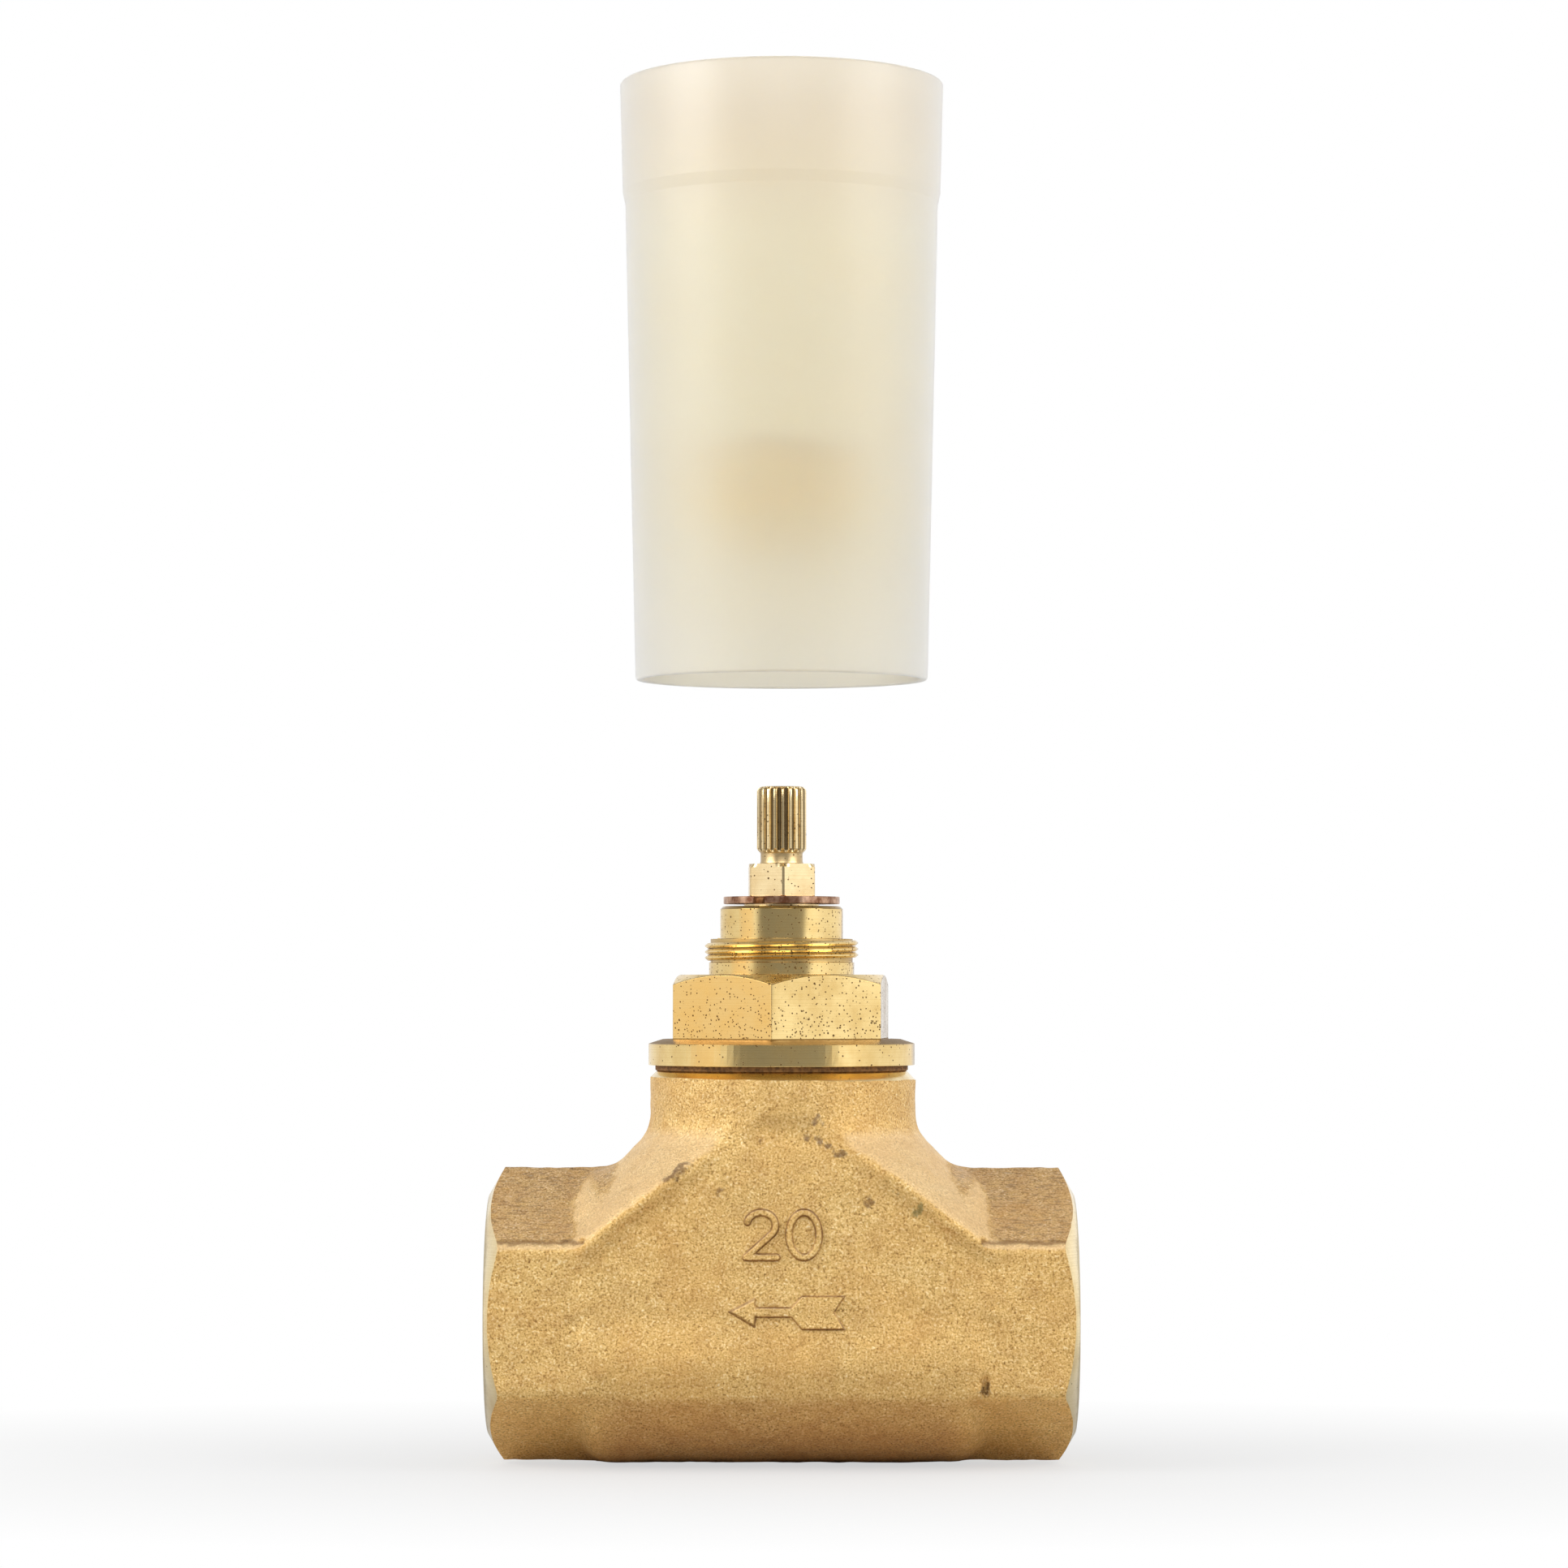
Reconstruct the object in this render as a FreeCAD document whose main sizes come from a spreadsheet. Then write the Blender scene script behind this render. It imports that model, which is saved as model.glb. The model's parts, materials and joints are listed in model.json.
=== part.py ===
"""Concealed shower valve: a cast stop-valve body for wall mounting, its grease-chamber
headwork, and the plaster guard that slips over it.

Frame: X along the pipe, Z up along the spindle, origin under the crossing of the two
axes at the lowest point of the belly. Every body is drawn with the pipe axis at height
zero and is then raised by the belly's radius.
"""
import FreeCAD
import Part
import os
from types import SimpleNamespace

import Sketcher

# Driving dimensions in millimetres, turns in degrees and counts as plain numbers
SIZES = {
    # cast body
    "face_to_face": 73.4,
    "port_hex_across_flats": 32.0,
    "port_face_dia": 30.0,
    "port_bore_dia": 26.44,
    "port_depth": 15.0,
    "port_countersink": 0.9,
    "belly_dia": 37.4,
    "belly_length": 46.4,
    "shoulder_width": 36.8,
    "panel_spacing": 33.4,
    "panel_arch_radius": 11.0,
    "panel_arch_height": 12.8,
    "panel_half_length": 26.0,
    "panel_shoulder_height": 6.7,
    "panel_drop": 9.0,
    "neck_dia": 34.0,
    "neck_height": 30.55,
    "neck_chamfer": 1.1,
    "neck_fillet": 2.5,
    "flare_height": 23.1,
    # water way
    "seat_bore_dia": 15.0,
    "seat_ring_dia": 18.0,
    "seat_height": 4.3,
    "seat_lip": 1.0,
    "chamber_dia": 25.2,
    "chamber_height": 18.0,
    "inlet_way_dia": 15.0,
    "inlet_way_drop": 7.2,
    "inlet_way_overrun": 7.0,
    "outlet_way_dia": 12.0,
    "outlet_way_rise": 9.5,
    # headwork housing
    "gasket_thickness": 0.65,
    "gasket_dia": 31.8,
    "flange_dia": 33.5,
    "flange_thickness": 2.7,
    "flange_bevel": 0.55,
    "bonnet_hex_across_flats": 26.0,
    "bonnet_hex_height": 8.1,
    "bonnet_hex_face_dia": 25.6,
    "bonnet_turn": -4.7,
    "relief_dia": 18.3,
    "relief_length": 1.55,
    "thread_dia": 18.9,
    "thread_depth": 0.5,
    "thread_length": 2.95,
    "nose_dia": 15.45,
    "nose_length": 4.1,
    "nose_chamfer": 0.35,
    "shank_dia": 26.3,
    "shank_length": 8.9,
    "skirt_dia": 23.6,
    "grease_bore_dia": 14.0,
    "roof_thickness": 1.25,
    # spindle
    "spindle_dia": 9.5,
    "spindle_hex_across_flats": 8.2,
    "spindle_hex_length": 4.1,
    "spindle_hex_chamfer": 0.45,
    "spindle_neck_dia": 5.3,
    "spindle_neck_length": 1.45,
    "spline_dia": 6.25,
    "spline_root_dia": 5.5,
    "spline_length": 8.3,
    "spline_chamfer": 0.9,
    "spline_tip_dia": 5.0,
    "spline_teeth": 20,
    "collar_dia": 13.2,
    "collar_thickness": 2.4,
    "spindle_thread_dia": 9.0,
    "ring_groove_dia": 6.7,
    "ring_groove_width": 1.9,
    "ring_section": 1.4,
    "ring_spacing": 4.0,
    # snap ring and slip ring
    "snap_ring_dia": 14.65,
    "snap_ring_thickness": 0.9,
    "snap_ring_slot": 1.5,
    "snap_ring_turn": -23.0,
    "snap_groove_dia": 7.6,
    "slip_ring_thickness": 0.5,
    # valve plug
    "valve_travel": 5.0,
    "plug_hex_across_flats": 16.0,
    "plug_hex_length": 9.0,
    "plug_barrel_length": 10.0,
    "plug_ring_drop": 2.6,
    "cup_dia": 20.0,
    "cup_height": 4.0,
    "cup_recess": 1.0,
    "washer_dia": 18.0,
    "washer_thickness": 3.0,
    "plate_dia": 11.0,
    "plate_thickness": 0.6,
    "screw_dia": 4.9,
    "screw_reach": 4.5,
    "screw_head_dia": 8.0,
    "screw_head_height": 2.0,
    "screw_slot_width": 1.2,
    "screw_slot_depth": 1.0,
    # plaster guard
    "guard_rim_dia": 36.9,
    "guard_step_dia": 39.6,
    "guard_band_dia": 40.25,
    "guard_top_dia": 41.0,
    "guard_length": 75.7,
    "guard_band_height": 14.5,
    "guard_rim_wall": 1.0,
    "guard_root_wall": 1.7,
    "guard_wall": 1.2,
    "guard_band_wall": 1.58,
    "guard_web_thickness": 1.0,
    "guard_web_hole_dia": 16.2,
    "guard_collar_wall": 1.25,
    "guard_lift": 56.3,
    # clearances, each measured on one side
    "thread_clearance": 0.05,
    "running_clearance": 0.03,
    "ring_clearance": 0.02,
    "slide_clearance": 0.1,
    "seating_clearance": 0.03,
    "snap_ring_clearance": 0.3,
    "travel_clearance": 0.5,
    "guard_clearance": 0.3,
    "guard_web_clearance": 1.0,
}

# Width across flats to distances on a regular hexagon
CORNER_SHARE = 1 / 3 ** 0.5
SIDE_SHARE = CORNER_SHARE / 2
# Run to rise of a 30 degree bevel
BEVEL_SLOPE = CORNER_SHARE


class Size:
    """A length with its value now and the expression that ties it to the sheet."""

    def __init__(self, text, value):
        self.text = text
        self.value = value

    def joined(self, sign, other, value):
        other_text = other.text if isinstance(other, Size) else repr(other)
        return Size(f"({self.text} {sign} {other_text})", value)

    def __add__(self, other):
        return self.joined("+", other, self.value + number(other))

    def __sub__(self, other):
        return self.joined("-", other, self.value - number(other))

    def __mul__(self, other):
        return self.joined("*", other, self.value * number(other))

    def __truediv__(self, other):
        return self.joined("/", other, self.value / number(other))

    def __neg__(self):
        return Size(f"(-1 * {self.text})", -self.value)


def number(size):
    return size.value if isinstance(size, Size) else size


def fill_sheet(doc):
    """Puts the driving dimensions into the sheet and returns them as sizes by name."""
    sheet = doc.addObject("Spreadsheet::Sheet", "sizes")
    for row, (alias, value) in enumerate(SIZES.items(), start=1):
        sheet.set(f"A{row}", alias.replace("_", " "))
        sheet.set(f"B{row}", str(value))
        sheet.setAlias(f"B{row}", alias)
    doc.recompute()
    return SimpleNamespace(**{alias: Size(f"sizes.{alias}", float(sheet.get(alias))) for alias in SIZES})


def start_body(label):
    body = doc.addObject("PartDesign::Body", label)
    body.Label = label
    return body


def origin_feature(body, role):
    return next(feature for feature in body.Origin.OriginFeatures if feature.Role == role)


def start_sketch(body, plane, name, offset=None):
    """A sketch on one of the body's own planes, set off along the plane's normal."""
    sketch = body.newObject("Sketcher::SketchObject", f"{body.Name}_{name}_sketch")
    sketch.AttachmentSupport = (origin_feature(body, plane), [""])
    sketch.MapMode = "FlatFace"
    if offset is not None:
        sketch.setExpression("AttachmentOffset.Base.z", offset.text)
    return sketch


def hold(sketch, geometry, point, x, y):
    """Ties a point of the sketch to its distances from the sketch's origin."""
    for kind, axis, size in (("DistanceX", -2, x), ("DistanceY", -1, y)):
        if not isinstance(size, Size):
            sketch.addConstraint(Sketcher.Constraint("PointOnObject", geometry, point, axis))
            continue
        away = size.value > 0
        ends = (-1, 1, geometry, point) if away else (geometry, point, -1, 1)
        index = sketch.addConstraint(Sketcher.Constraint(kind, *ends, abs(size.value)))
        sketch.setExpression(f"Constraints[{index}]", size.text if away else (-size).text)


def draw_outline(sketch, points):
    """A closed outline of straight sides; a bare zero puts a point on that axis, and a third
    value rounds that corner."""
    corners = [FreeCAD.Vector(number(point[0]), number(point[1]), 0) for point in points]
    entries, exits = list(corners), list(corners)
    for place, (x, y, *radius) in enumerate(points):
        if radius:
            entries[place], exits[place] = tangent_points(
                corners[place - 1], corners[place], corners[(place + 1) % len(corners)], radius[0].value)
    lines = [Part.LineSegment(start, end) for start, end in zip(exits, entries[1:] + entries[:1])]
    indices = sketch.addGeometry(lines, False)
    for place, (x, y, *radius) in enumerate(points):
        before, after = indices[place - 1], indices[place]
        if radius:
            round_corner(sketch, before, after, x, y, radius[0])
        else:
            sketch.addConstraint(Sketcher.Constraint("Coincident", before, 2, after, 1))
            hold(sketch, after, 1, x, y)


def tangent_points(before, corner, after, radius):
    """Where an arc of that radius leaves the two sides of a corner."""
    back = (before - corner).normalize()
    on = (after - corner).normalize()
    trim = radius * (1 + back.dot(on)) / back.cross(on).Length
    return corner + back * trim, corner + on * trim


def round_corner(sketch, before, after, x, y, radius):
    """An arc tangent to the ends of two sides, which still point at the corner that it takes away."""
    corner = FreeCAD.Vector(number(x), number(y), 0)
    entry = sketch.Geometry[before].EndPoint
    leave = sketch.Geometry[after].StartPoint
    back, on = entry - corner, leave - corner
    centre = corner + (back + on) * (back.dot(back) / (back.dot(back) + back.dot(on)))
    circle = Part.Circle(centre, FreeCAD.Vector(0, 0, 1), radius.value)
    leftward = (entry - centre).cross(leave - centre).z > 0
    start, end = (entry, leave) if leftward else (leave, entry)
    arc = sketch.addGeometry(Part.ArcOfCircle(circle, circle.parameter(start), circle.parameter(end)), False)
    first, last = (1, 2) if leftward else (2, 1)
    sketch.addConstraint(Sketcher.Constraint("Tangent", before, 2, arc, first))
    sketch.addConstraint(Sketcher.Constraint("Tangent", arc, last, after, 1))
    tie = sketch.addConstraint(Sketcher.Constraint("Radius", arc, radius.value))
    sketch.setExpression(f"Constraints[{tie}]", radius.text)
    pointed = sketch.addGeometry(Part.Point(corner), True)
    hold(sketch, pointed, 1, x, y)
    for side in (before, after):
        sketch.addConstraint(Sketcher.Constraint("PointOnObject", pointed, 1, side))


def draw_circle(sketch, radius, x=0, y=0):
    circle = Part.Circle(FreeCAD.Vector(number(x), number(y), 0), FreeCAD.Vector(0, 0, 1), radius.value)
    index = sketch.addGeometry(circle, False)
    hold(sketch, index, 3, x, y)
    tie = sketch.addConstraint(Sketcher.Constraint("Radius", index, radius.value))
    sketch.setExpression(f"Constraints[{tie}]", radius.text)


def hexagon(across_flats):
    """Corners of a hexagon that has two of them on the sketch's vertical axis."""
    flat = across_flats / 2
    side = across_flats * SIDE_SHARE
    corner = across_flats * CORNER_SHARE
    return [(0, -corner), (flat, -side), (flat, side), (0, corner), (-flat, side), (-flat, -side)]


def turn(body, name, outlines, cut=False, about="V_Axis"):
    """Revolves outlines of radius and height about the spindle, or about the pipe."""
    sketch = start_sketch(body, "XZ_Plane", name)
    for points in outlines:
        draw_outline(sketch, points)
    kind = "PartDesign::Groove" if cut else "PartDesign::Revolution"
    feature = body.newObject(kind, f"{body.Name}_{name}")
    feature.Profile = sketch
    feature.ReferenceAxis = (sketch, [about])
    feature.Angle = 360
    return feature


def extrude(body, sketch, name, length, cut=False, symmetric=False, reverse=False):
    kind = "PartDesign::Pocket" if cut else "PartDesign::Pad"
    feature = body.newObject(kind, f"{body.Name}_{name}")
    feature.Profile = sketch
    feature.Length = length.value
    feature.setExpression("Length", length.text)
    feature.SideType = "Symmetric" if symmetric else "One side"
    feature.Reversed = reverse
    return feature


def mirror(body, feature, plane, name):
    copy = body.newObject("PartDesign::Mirrored", f"{body.Name}_{name}")
    copy.Originals = [feature]
    copy.MirrorPlane = (origin_feature(body, plane), [""])
    body.Tip = copy


def place(body, rise, turned=None):
    """Raises a finished body to its place, turned about the spindle if asked."""
    body.setExpression("Placement.Base.z", rise.text)
    if turned is not None:
        body.Placement.Rotation = FreeCAD.Rotation(FreeCAD.Vector(0, 0, 1), turned.value)
        body.setExpression("Placement.Rotation.Angle", turned.text)


def mill_hexagon(body, name, across_flats, top, height):
    """Cuts flats into a turned blank, so that its bevel leaves curved edges on them."""
    sketch = start_sketch(body, "XY_Plane", name, offset=top)
    draw_outline(sketch, hexagon(across_flats))
    draw_circle(sketch, across_flats)
    extrude(body, sketch, name, height, cut=True)


def ring(label, inner, outer, bottom, top):
    """A flat ring as one turned rectangle."""
    body = start_body(label)
    turn(body, "section", [[(inner, bottom), (outer, bottom), (outer, top), (inner, top)]])
    place(body, lift_to_axis)
    return body


def seal_ring(label, groove_radius, height):
    """A round-section sealing ring on the floor of its groove."""
    torus = doc.addObject("Part::Torus", label)
    torus.Label = label
    ring_radius = groove_radius + size.ring_clearance + size.ring_section / 2
    torus.setExpression("Radius1", ring_radius.text)
    torus.setExpression("Radius2", (size.ring_section / 2).text)
    place(torus, lift_to_axis + height)
    return torus


def make_valve_body():
    body = start_body("valve_body")
    neck = size.neck_dia / 2
    half_width = size.shoulder_width / 2
    flat = size.port_hex_across_flats / 2
    front_edge = size.port_hex_across_flats * SIDE_SHARE
    end = size.face_to_face / 2

    # The shoulder is a block turned to a bell: the neck runs through a fillet into a flare
    # at 45 degrees, down to the height of the hexagon's front edge
    foot = neck + size.flare_height - front_edge
    block = start_sketch(body, "YZ_Plane", "shoulder")
    draw_outline(block, [(-half_width, 0), (half_width, 0),
                         (half_width, size.neck_height), (-half_width, size.neck_height)])
    extrude(body, block, "shoulder", foot * 2, symmetric=True)
    outside = foot + half_width
    turn(body, "bell", [[
        (neck - size.neck_chamfer, size.neck_height), (neck, size.neck_height - size.neck_chamfer),
        (neck, size.flare_height, size.neck_fillet), (foot, front_edge), (foot, 0), (outside, 0),
        (outside, size.neck_height)]], cut=True)

    # Belly round the pipe axis, with 45 degree ends that run out on the hexagon's flats
    belly = size.belly_dia / 2
    belly_half = size.belly_length / 2
    belly_end = belly_half + belly - flat
    turn(body, "belly", [[
        (-belly_end, 0), (belly_end, 0), (belly_end, flat), (belly_half, belly),
        (-belly_half, belly), (-belly_end, flat)]], about="H_Axis")

    hexagons = start_sketch(body, "YZ_Plane", "hexagons")
    draw_outline(hexagons, hexagon(size.port_hex_across_flats))
    extrude(body, hexagons, "hexagons", size.face_to_face, symmetric=True)
    blank = size.port_hex_across_flats
    face = size.port_face_dia / 2
    bevel_run = (blank - face) * BEVEL_SLOPE
    turn(body, "end_bevels", [
        [(end, face), (end, blank), (end - bevel_run, blank)],
        [(-end, face), (-end, blank), (bevel_run - end, blank)]], cut=True, about="H_Axis")

    panel = make_panel(body)
    mirror(body, panel, "XZ_Plane", "rear_panel")

    # Seat, chamber and the neck's thread for the headwork, all from above
    seat = size.seat_bore_dia / 2
    seat_ring = size.seat_ring_dia / 2
    floor = size.seat_height - size.seat_lip
    chamber = size.chamber_dia / 2
    chamber_top = floor + size.chamber_height
    turn(body, "chamber", [[
        (0, -size.inlet_way_drop), (seat, -size.inlet_way_drop), (seat, size.seat_height),
        (seat_ring, size.seat_height), (seat_ring, floor), (chamber, floor), (chamber, chamber_top),
        (neck_bore, chamber_top), (neck_bore, size.neck_height), (0, size.neck_height)]], cut=True)

    # Ports from both ends, then the ways under and over the seat
    port = size.port_bore_dia / 2
    mouth = port + size.port_countersink
    shelf = end - size.port_depth
    turn(body, "ports", [
        [(shelf, 0), (end, 0), (end, mouth), (end - size.port_countersink, port), (shelf, port)],
        [(-shelf, 0), (-end, 0), (-end, mouth), (size.port_countersink - end, port), (-shelf, port)]],
        cut=True, about="H_Axis")
    inlet_way = start_sketch(body, "YZ_Plane", "inlet_way", offset=-size.inlet_way_overrun)
    draw_circle(inlet_way, size.inlet_way_dia / 2, y=-size.inlet_way_drop)
    extrude(body, inlet_way, "inlet_way", shelf + size.inlet_way_overrun, cut=True, reverse=True)
    outlet_way = start_sketch(body, "YZ_Plane", "outlet_way")
    draw_circle(outlet_way, size.outlet_way_dia / 2, y=size.outlet_way_rise)
    extrude(body, outlet_way, "outlet_way", shelf, cut=True)
    place(body, lift_to_axis)
    return body


def make_panel(body):
    """Front panel: a shallow recess under a round arch that leaves the flare's edge proud."""
    sketch = start_sketch(body, "XZ_Plane", "front_panel", offset=size.panel_spacing / 2)
    wide = size.panel_half_length
    left_foot = FreeCAD.Vector(-wide.value, -size.panel_drop.value, 0)
    right_foot = FreeCAD.Vector(wide.value, -size.panel_drop.value, 0)
    left_shoulder = FreeCAD.Vector(-wide.value, size.panel_shoulder_height.value, 0)
    right_shoulder = FreeCAD.Vector(wide.value, size.panel_shoulder_height.value, 0)
    radius = size.panel_arch_radius.value
    centre = FreeCAD.Vector(0, size.panel_arch_height.value, 0)
    crown = Part.Circle(centre, FreeCAD.Vector(0, 0, 1), radius)
    # Where the arch starts is only a first guess, which the tangents then settle
    haunch = FreeCAD.Vector(0.6 * radius, 0.8 * radius, 0)
    arch = Part.ArcOfCircle(crown, crown.parameter(centre + haunch),
                            crown.parameter(centre + FreeCAD.Vector(-haunch.x, haunch.y, 0)))
    sketch.addGeometry([
        Part.LineSegment(left_foot, right_foot), Part.LineSegment(right_foot, right_shoulder),
        Part.LineSegment(right_shoulder, arch.StartPoint), arch,
        Part.LineSegment(arch.EndPoint, left_shoulder), Part.LineSegment(left_shoulder, left_foot)], False)
    for first, second in ((0, 1), (1, 2), (4, 5), (5, 0)):
        sketch.addConstraint(Sketcher.Constraint("Coincident", first, 2, second, 1))
    for first, second in ((2, 3), (3, 4)):
        sketch.addConstraint(Sketcher.Constraint("Tangent", first, 2, second, 1))
    hold(sketch, 0, 1, -wide, -size.panel_drop)
    hold(sketch, 1, 1, wide, -size.panel_drop)
    hold(sketch, 2, 1, wide, size.panel_shoulder_height)
    hold(sketch, 5, 1, -wide, size.panel_shoulder_height)
    hold(sketch, 3, 3, 0, size.panel_arch_height)
    tie = sketch.addConstraint(Sketcher.Constraint("Radius", 3, radius))
    sketch.setExpression(f"Constraints[{tie}]", size.panel_arch_radius.text)
    return extrude(body, sketch, "front_panel", size.shoulder_width, cut=True, reverse=True)


def make_bonnet():
    body = start_body("bonnet")
    flange = size.flange_dia / 2
    corner = size.bonnet_hex_across_flats * CORNER_SHARE
    hex_face = size.bonnet_hex_face_dia / 2
    relief = size.relief_dia / 2
    core = size.thread_dia / 2 - size.thread_depth
    nose = size.nose_dia / 2
    shank = size.shank_dia / 2
    skirt = size.skirt_dia / 2
    guide_across_flats = size.plug_hex_across_flats + size.slide_clearance * 2
    guide_corner = guide_across_flats * CORNER_SHARE
    flange_top = flange_base + size.flange_thickness
    turn(body, "housing", [[
        (guide_corner, skirt_end), (skirt, skirt_end), (skirt, shank_end), (shank, shank_end),
        (shank, flange_base), (flange, flange_base), (flange, flange_top), (corner, hex_base),
        (corner, hex_top - (corner - hex_face) * BEVEL_SLOPE), (hex_face, hex_top), (relief, hex_top),
        (relief, thread_base), (core, thread_base), (core, thread_top), (nose, thread_top),
        (nose, nose_top - size.nose_chamfer), (nose - size.nose_chamfer, nose_top),
        (spindle_bore, nose_top), (spindle_bore, roof), (grease_bore, roof),
        (grease_bore, guide_top), (guide_corner, guide_top)]])
    mill_hexagon(body, "hexagon", size.bonnet_hex_across_flats, hex_top, size.bonnet_hex_height)

    # The guide's flats stand inside the turned recess
    flats = start_sketch(body, "XY_Plane", "guide_flats", offset=skirt_end)
    draw_outline(flats, hexagon(guide_across_flats))
    draw_circle(flats, skirt - size.slide_clearance)
    extrude(body, flats, "guide_flats", guide_top - skirt_end)
    place(body, lift_to_axis, size.bonnet_turn)
    return body


def make_spindle():
    body = start_body("spindle")
    shaft = size.spindle_dia / 2
    groove = size.ring_groove_dia / 2
    collar = size.collar_dia / 2
    thread = size.spindle_thread_dia / 2
    snap_groove = size.snap_groove_dia / 2
    corner = size.spindle_hex_across_flats * CORNER_SHARE
    neck = size.spindle_neck_dia / 2
    spline = size.spline_dia / 2
    half_groove = size.ring_groove_width / 2
    lower_start = lower_ring - half_groove
    lower_stop = lower_ring + half_groove
    upper_start = upper_ring - half_groove
    upper_stop = upper_ring + half_groove
    turn(body, "bar", [[
        (0, spindle_end), (thread, spindle_end), (thread, collar_base), (collar, collar_base),
        (collar, collar_top), (shaft, collar_top), (shaft, lower_start), (groove, lower_start),
        (groove, lower_stop), (shaft, lower_stop), (shaft, upper_start), (groove, upper_start),
        (groove, upper_stop), (shaft, upper_stop), (shaft, snap_base - size.seating_clearance),
        (snap_groove, snap_base - size.seating_clearance), (snap_groove, spindle_hex_base),
        (corner, spindle_hex_base), (corner, spindle_hex_top - size.spindle_hex_chamfer),
        (corner - size.spindle_hex_chamfer, spindle_hex_top), (neck, spindle_hex_top),
        (neck, spline_base), (spline, spline_base), (spline, spline_top - size.spline_chamfer),
        (size.spline_tip_dia / 2, spline_top), (0, spline_top)]])
    mill_hexagon(body, "hexagon", size.spindle_hex_across_flats, spindle_hex_top, size.spindle_hex_length)

    # One gap between two teeth, its sides at 60 degrees, repeated round the spline
    depth = (size.spline_dia - size.spline_root_dia) / 2
    over = size.spline_dia / 2 + depth
    half_gap = depth * 2 * CORNER_SHARE
    gap = start_sketch(body, "XY_Plane", "tooth_gap", offset=spline_top)
    draw_outline(gap, [(0, -(size.spline_root_dia / 2)), (half_gap, -over), (-half_gap, -over)])
    first_gap = extrude(body, gap, "tooth_gap", size.spline_length, cut=True)
    gaps = body.newObject("PartDesign::PolarPattern", "spindle_tooth_gaps")
    gaps.Originals = [first_gap]
    gaps.Axis = (origin_feature(body, "Z_Axis"), [""])
    gaps.Angle = 360
    gaps.setExpression("Occurrences", size.spline_teeth.text)
    body.Tip = gaps
    place(body, lift_to_axis)
    return body


def make_snap_ring():
    """Open ring whose slot is drawn to the front and then turned to its place."""
    body = start_body("snap_ring")
    inner = size.snap_groove_dia / 2 + size.slide_clearance
    outer = size.snap_ring_dia / 2
    turn(body, "section", [[(inner, snap_base), (outer, snap_base), (outer, snap_top), (inner, snap_top)]])
    half_slot = size.snap_ring_slot / 2
    slot = start_sketch(body, "XY_Plane", "slot", offset=snap_top)
    draw_outline(slot, [(-half_slot, 0), (half_slot, 0),
                        (half_slot, -size.snap_ring_dia), (-half_slot, -size.snap_ring_dia)])
    extrude(body, slot, "slot", size.snap_ring_thickness, cut=True)
    place(body, lift_to_axis, size.snap_ring_turn)
    return body


def make_valve_plug():
    body = start_body("valve_plug")
    cup = size.cup_dia / 2
    recess = size.washer_dia / 2 + size.slide_clearance
    corner = size.plug_hex_across_flats * CORNER_SHARE
    screw = size.screw_dia / 2 + size.thread_clearance
    bore = size.spindle_thread_dia / 2 + size.thread_clearance
    half_groove = size.ring_groove_width / 2
    groove_start = plug_ring - half_groove
    groove_stop = plug_ring + half_groove
    turn(body, "plug", [[
        (screw, cup_floor), (recess, cup_floor), (recess, cup_rim), (cup, cup_rim), (cup, cup_top),
        (corner, cup_top), (corner, plug_hex_top), (plug_barrel, plug_hex_top),
        (plug_barrel, groove_start), (plug_groove, groove_start), (plug_groove, groove_stop),
        (plug_barrel, groove_stop), (plug_barrel, plug_top), (bore, plug_top), (bore, plug_bore_end),
        (0, plug_bore_end), (0, screw_hole_end), (screw, screw_hole_end)]])
    mill_hexagon(body, "hexagon", size.plug_hex_across_flats, plug_hex_top, size.plug_hex_length)
    place(body, lift_to_axis, size.bonnet_turn)
    return body


def make_washer_screw():
    body = start_body("washer_screw")
    shank = size.screw_dia / 2
    head = size.screw_head_dia / 2
    turn(body, "screw", [[
        (0, screw_head_base), (head, screw_head_base), (head, plate_base), (shank, plate_base),
        (shank, screw_end), (0, screw_end)]])
    half_slot = size.screw_slot_width / 2
    slot = start_sketch(body, "XY_Plane", "slot", offset=screw_head_base)
    draw_outline(slot, [(-half_slot, -head), (half_slot, -head), (half_slot, head), (-half_slot, head)])
    extrude(body, slot, "slot", size.screw_slot_depth, cut=True, reverse=True)
    place(body, lift_to_axis)
    return body


def make_plaster_guard():
    """Tapered sleeve, open at both ends, drawn where it seats and then lifted off.

    Half way up, a web with a hole for the spindle carries a collar that stands on the
    bonnet's hexagon. Both hollows widen towards their own mouth.
    """
    body = start_body("plaster_guard")
    rim = flare_top + size.guard_clearance
    top = rim + size.guard_length
    step = top - size.guard_band_height
    collar_end = hex_top + size.guard_clearance
    web_base = nose_top + size.guard_web_clearance
    web_top = web_base + size.guard_web_thickness
    outer_rim = size.guard_rim_dia / 2
    outer_step = size.guard_step_dia / 2
    slope = (outer_step - outer_rim) / (step - rim)
    outer_top = size.guard_top_dia / 2
    inner_top = outer_top - size.guard_band_wall
    inner_step = outer_step - size.guard_wall
    inner_web_top = outer_rim + slope * (web_top - rim) - size.guard_wall
    inner_web_base = outer_rim + slope * (web_base - rim) - size.guard_root_wall
    collar_bore = size.thread_dia / 2 + size.guard_clearance
    collar = collar_bore + size.guard_collar_wall
    hole = size.guard_web_hole_dia / 2
    turn(body, "sleeve", [[
        (outer_rim - size.guard_rim_wall, rim), (outer_rim, rim), (outer_step, step),
        (size.guard_band_dia / 2, step), (outer_top, top), (inner_top, top), (inner_step, step),
        (inner_web_top, web_top), (hole, web_top), (hole, web_base), (collar_bore, web_base),
        (collar_bore, collar_end), (collar, collar_end), (collar, web_base), (inner_web_base, web_base)]])
    place(body, lift_to_axis + size.guard_lift)
    return body


doc = FreeCAD.newDocument("concealed_shower_valve")
size = fill_sheet(doc)

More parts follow.
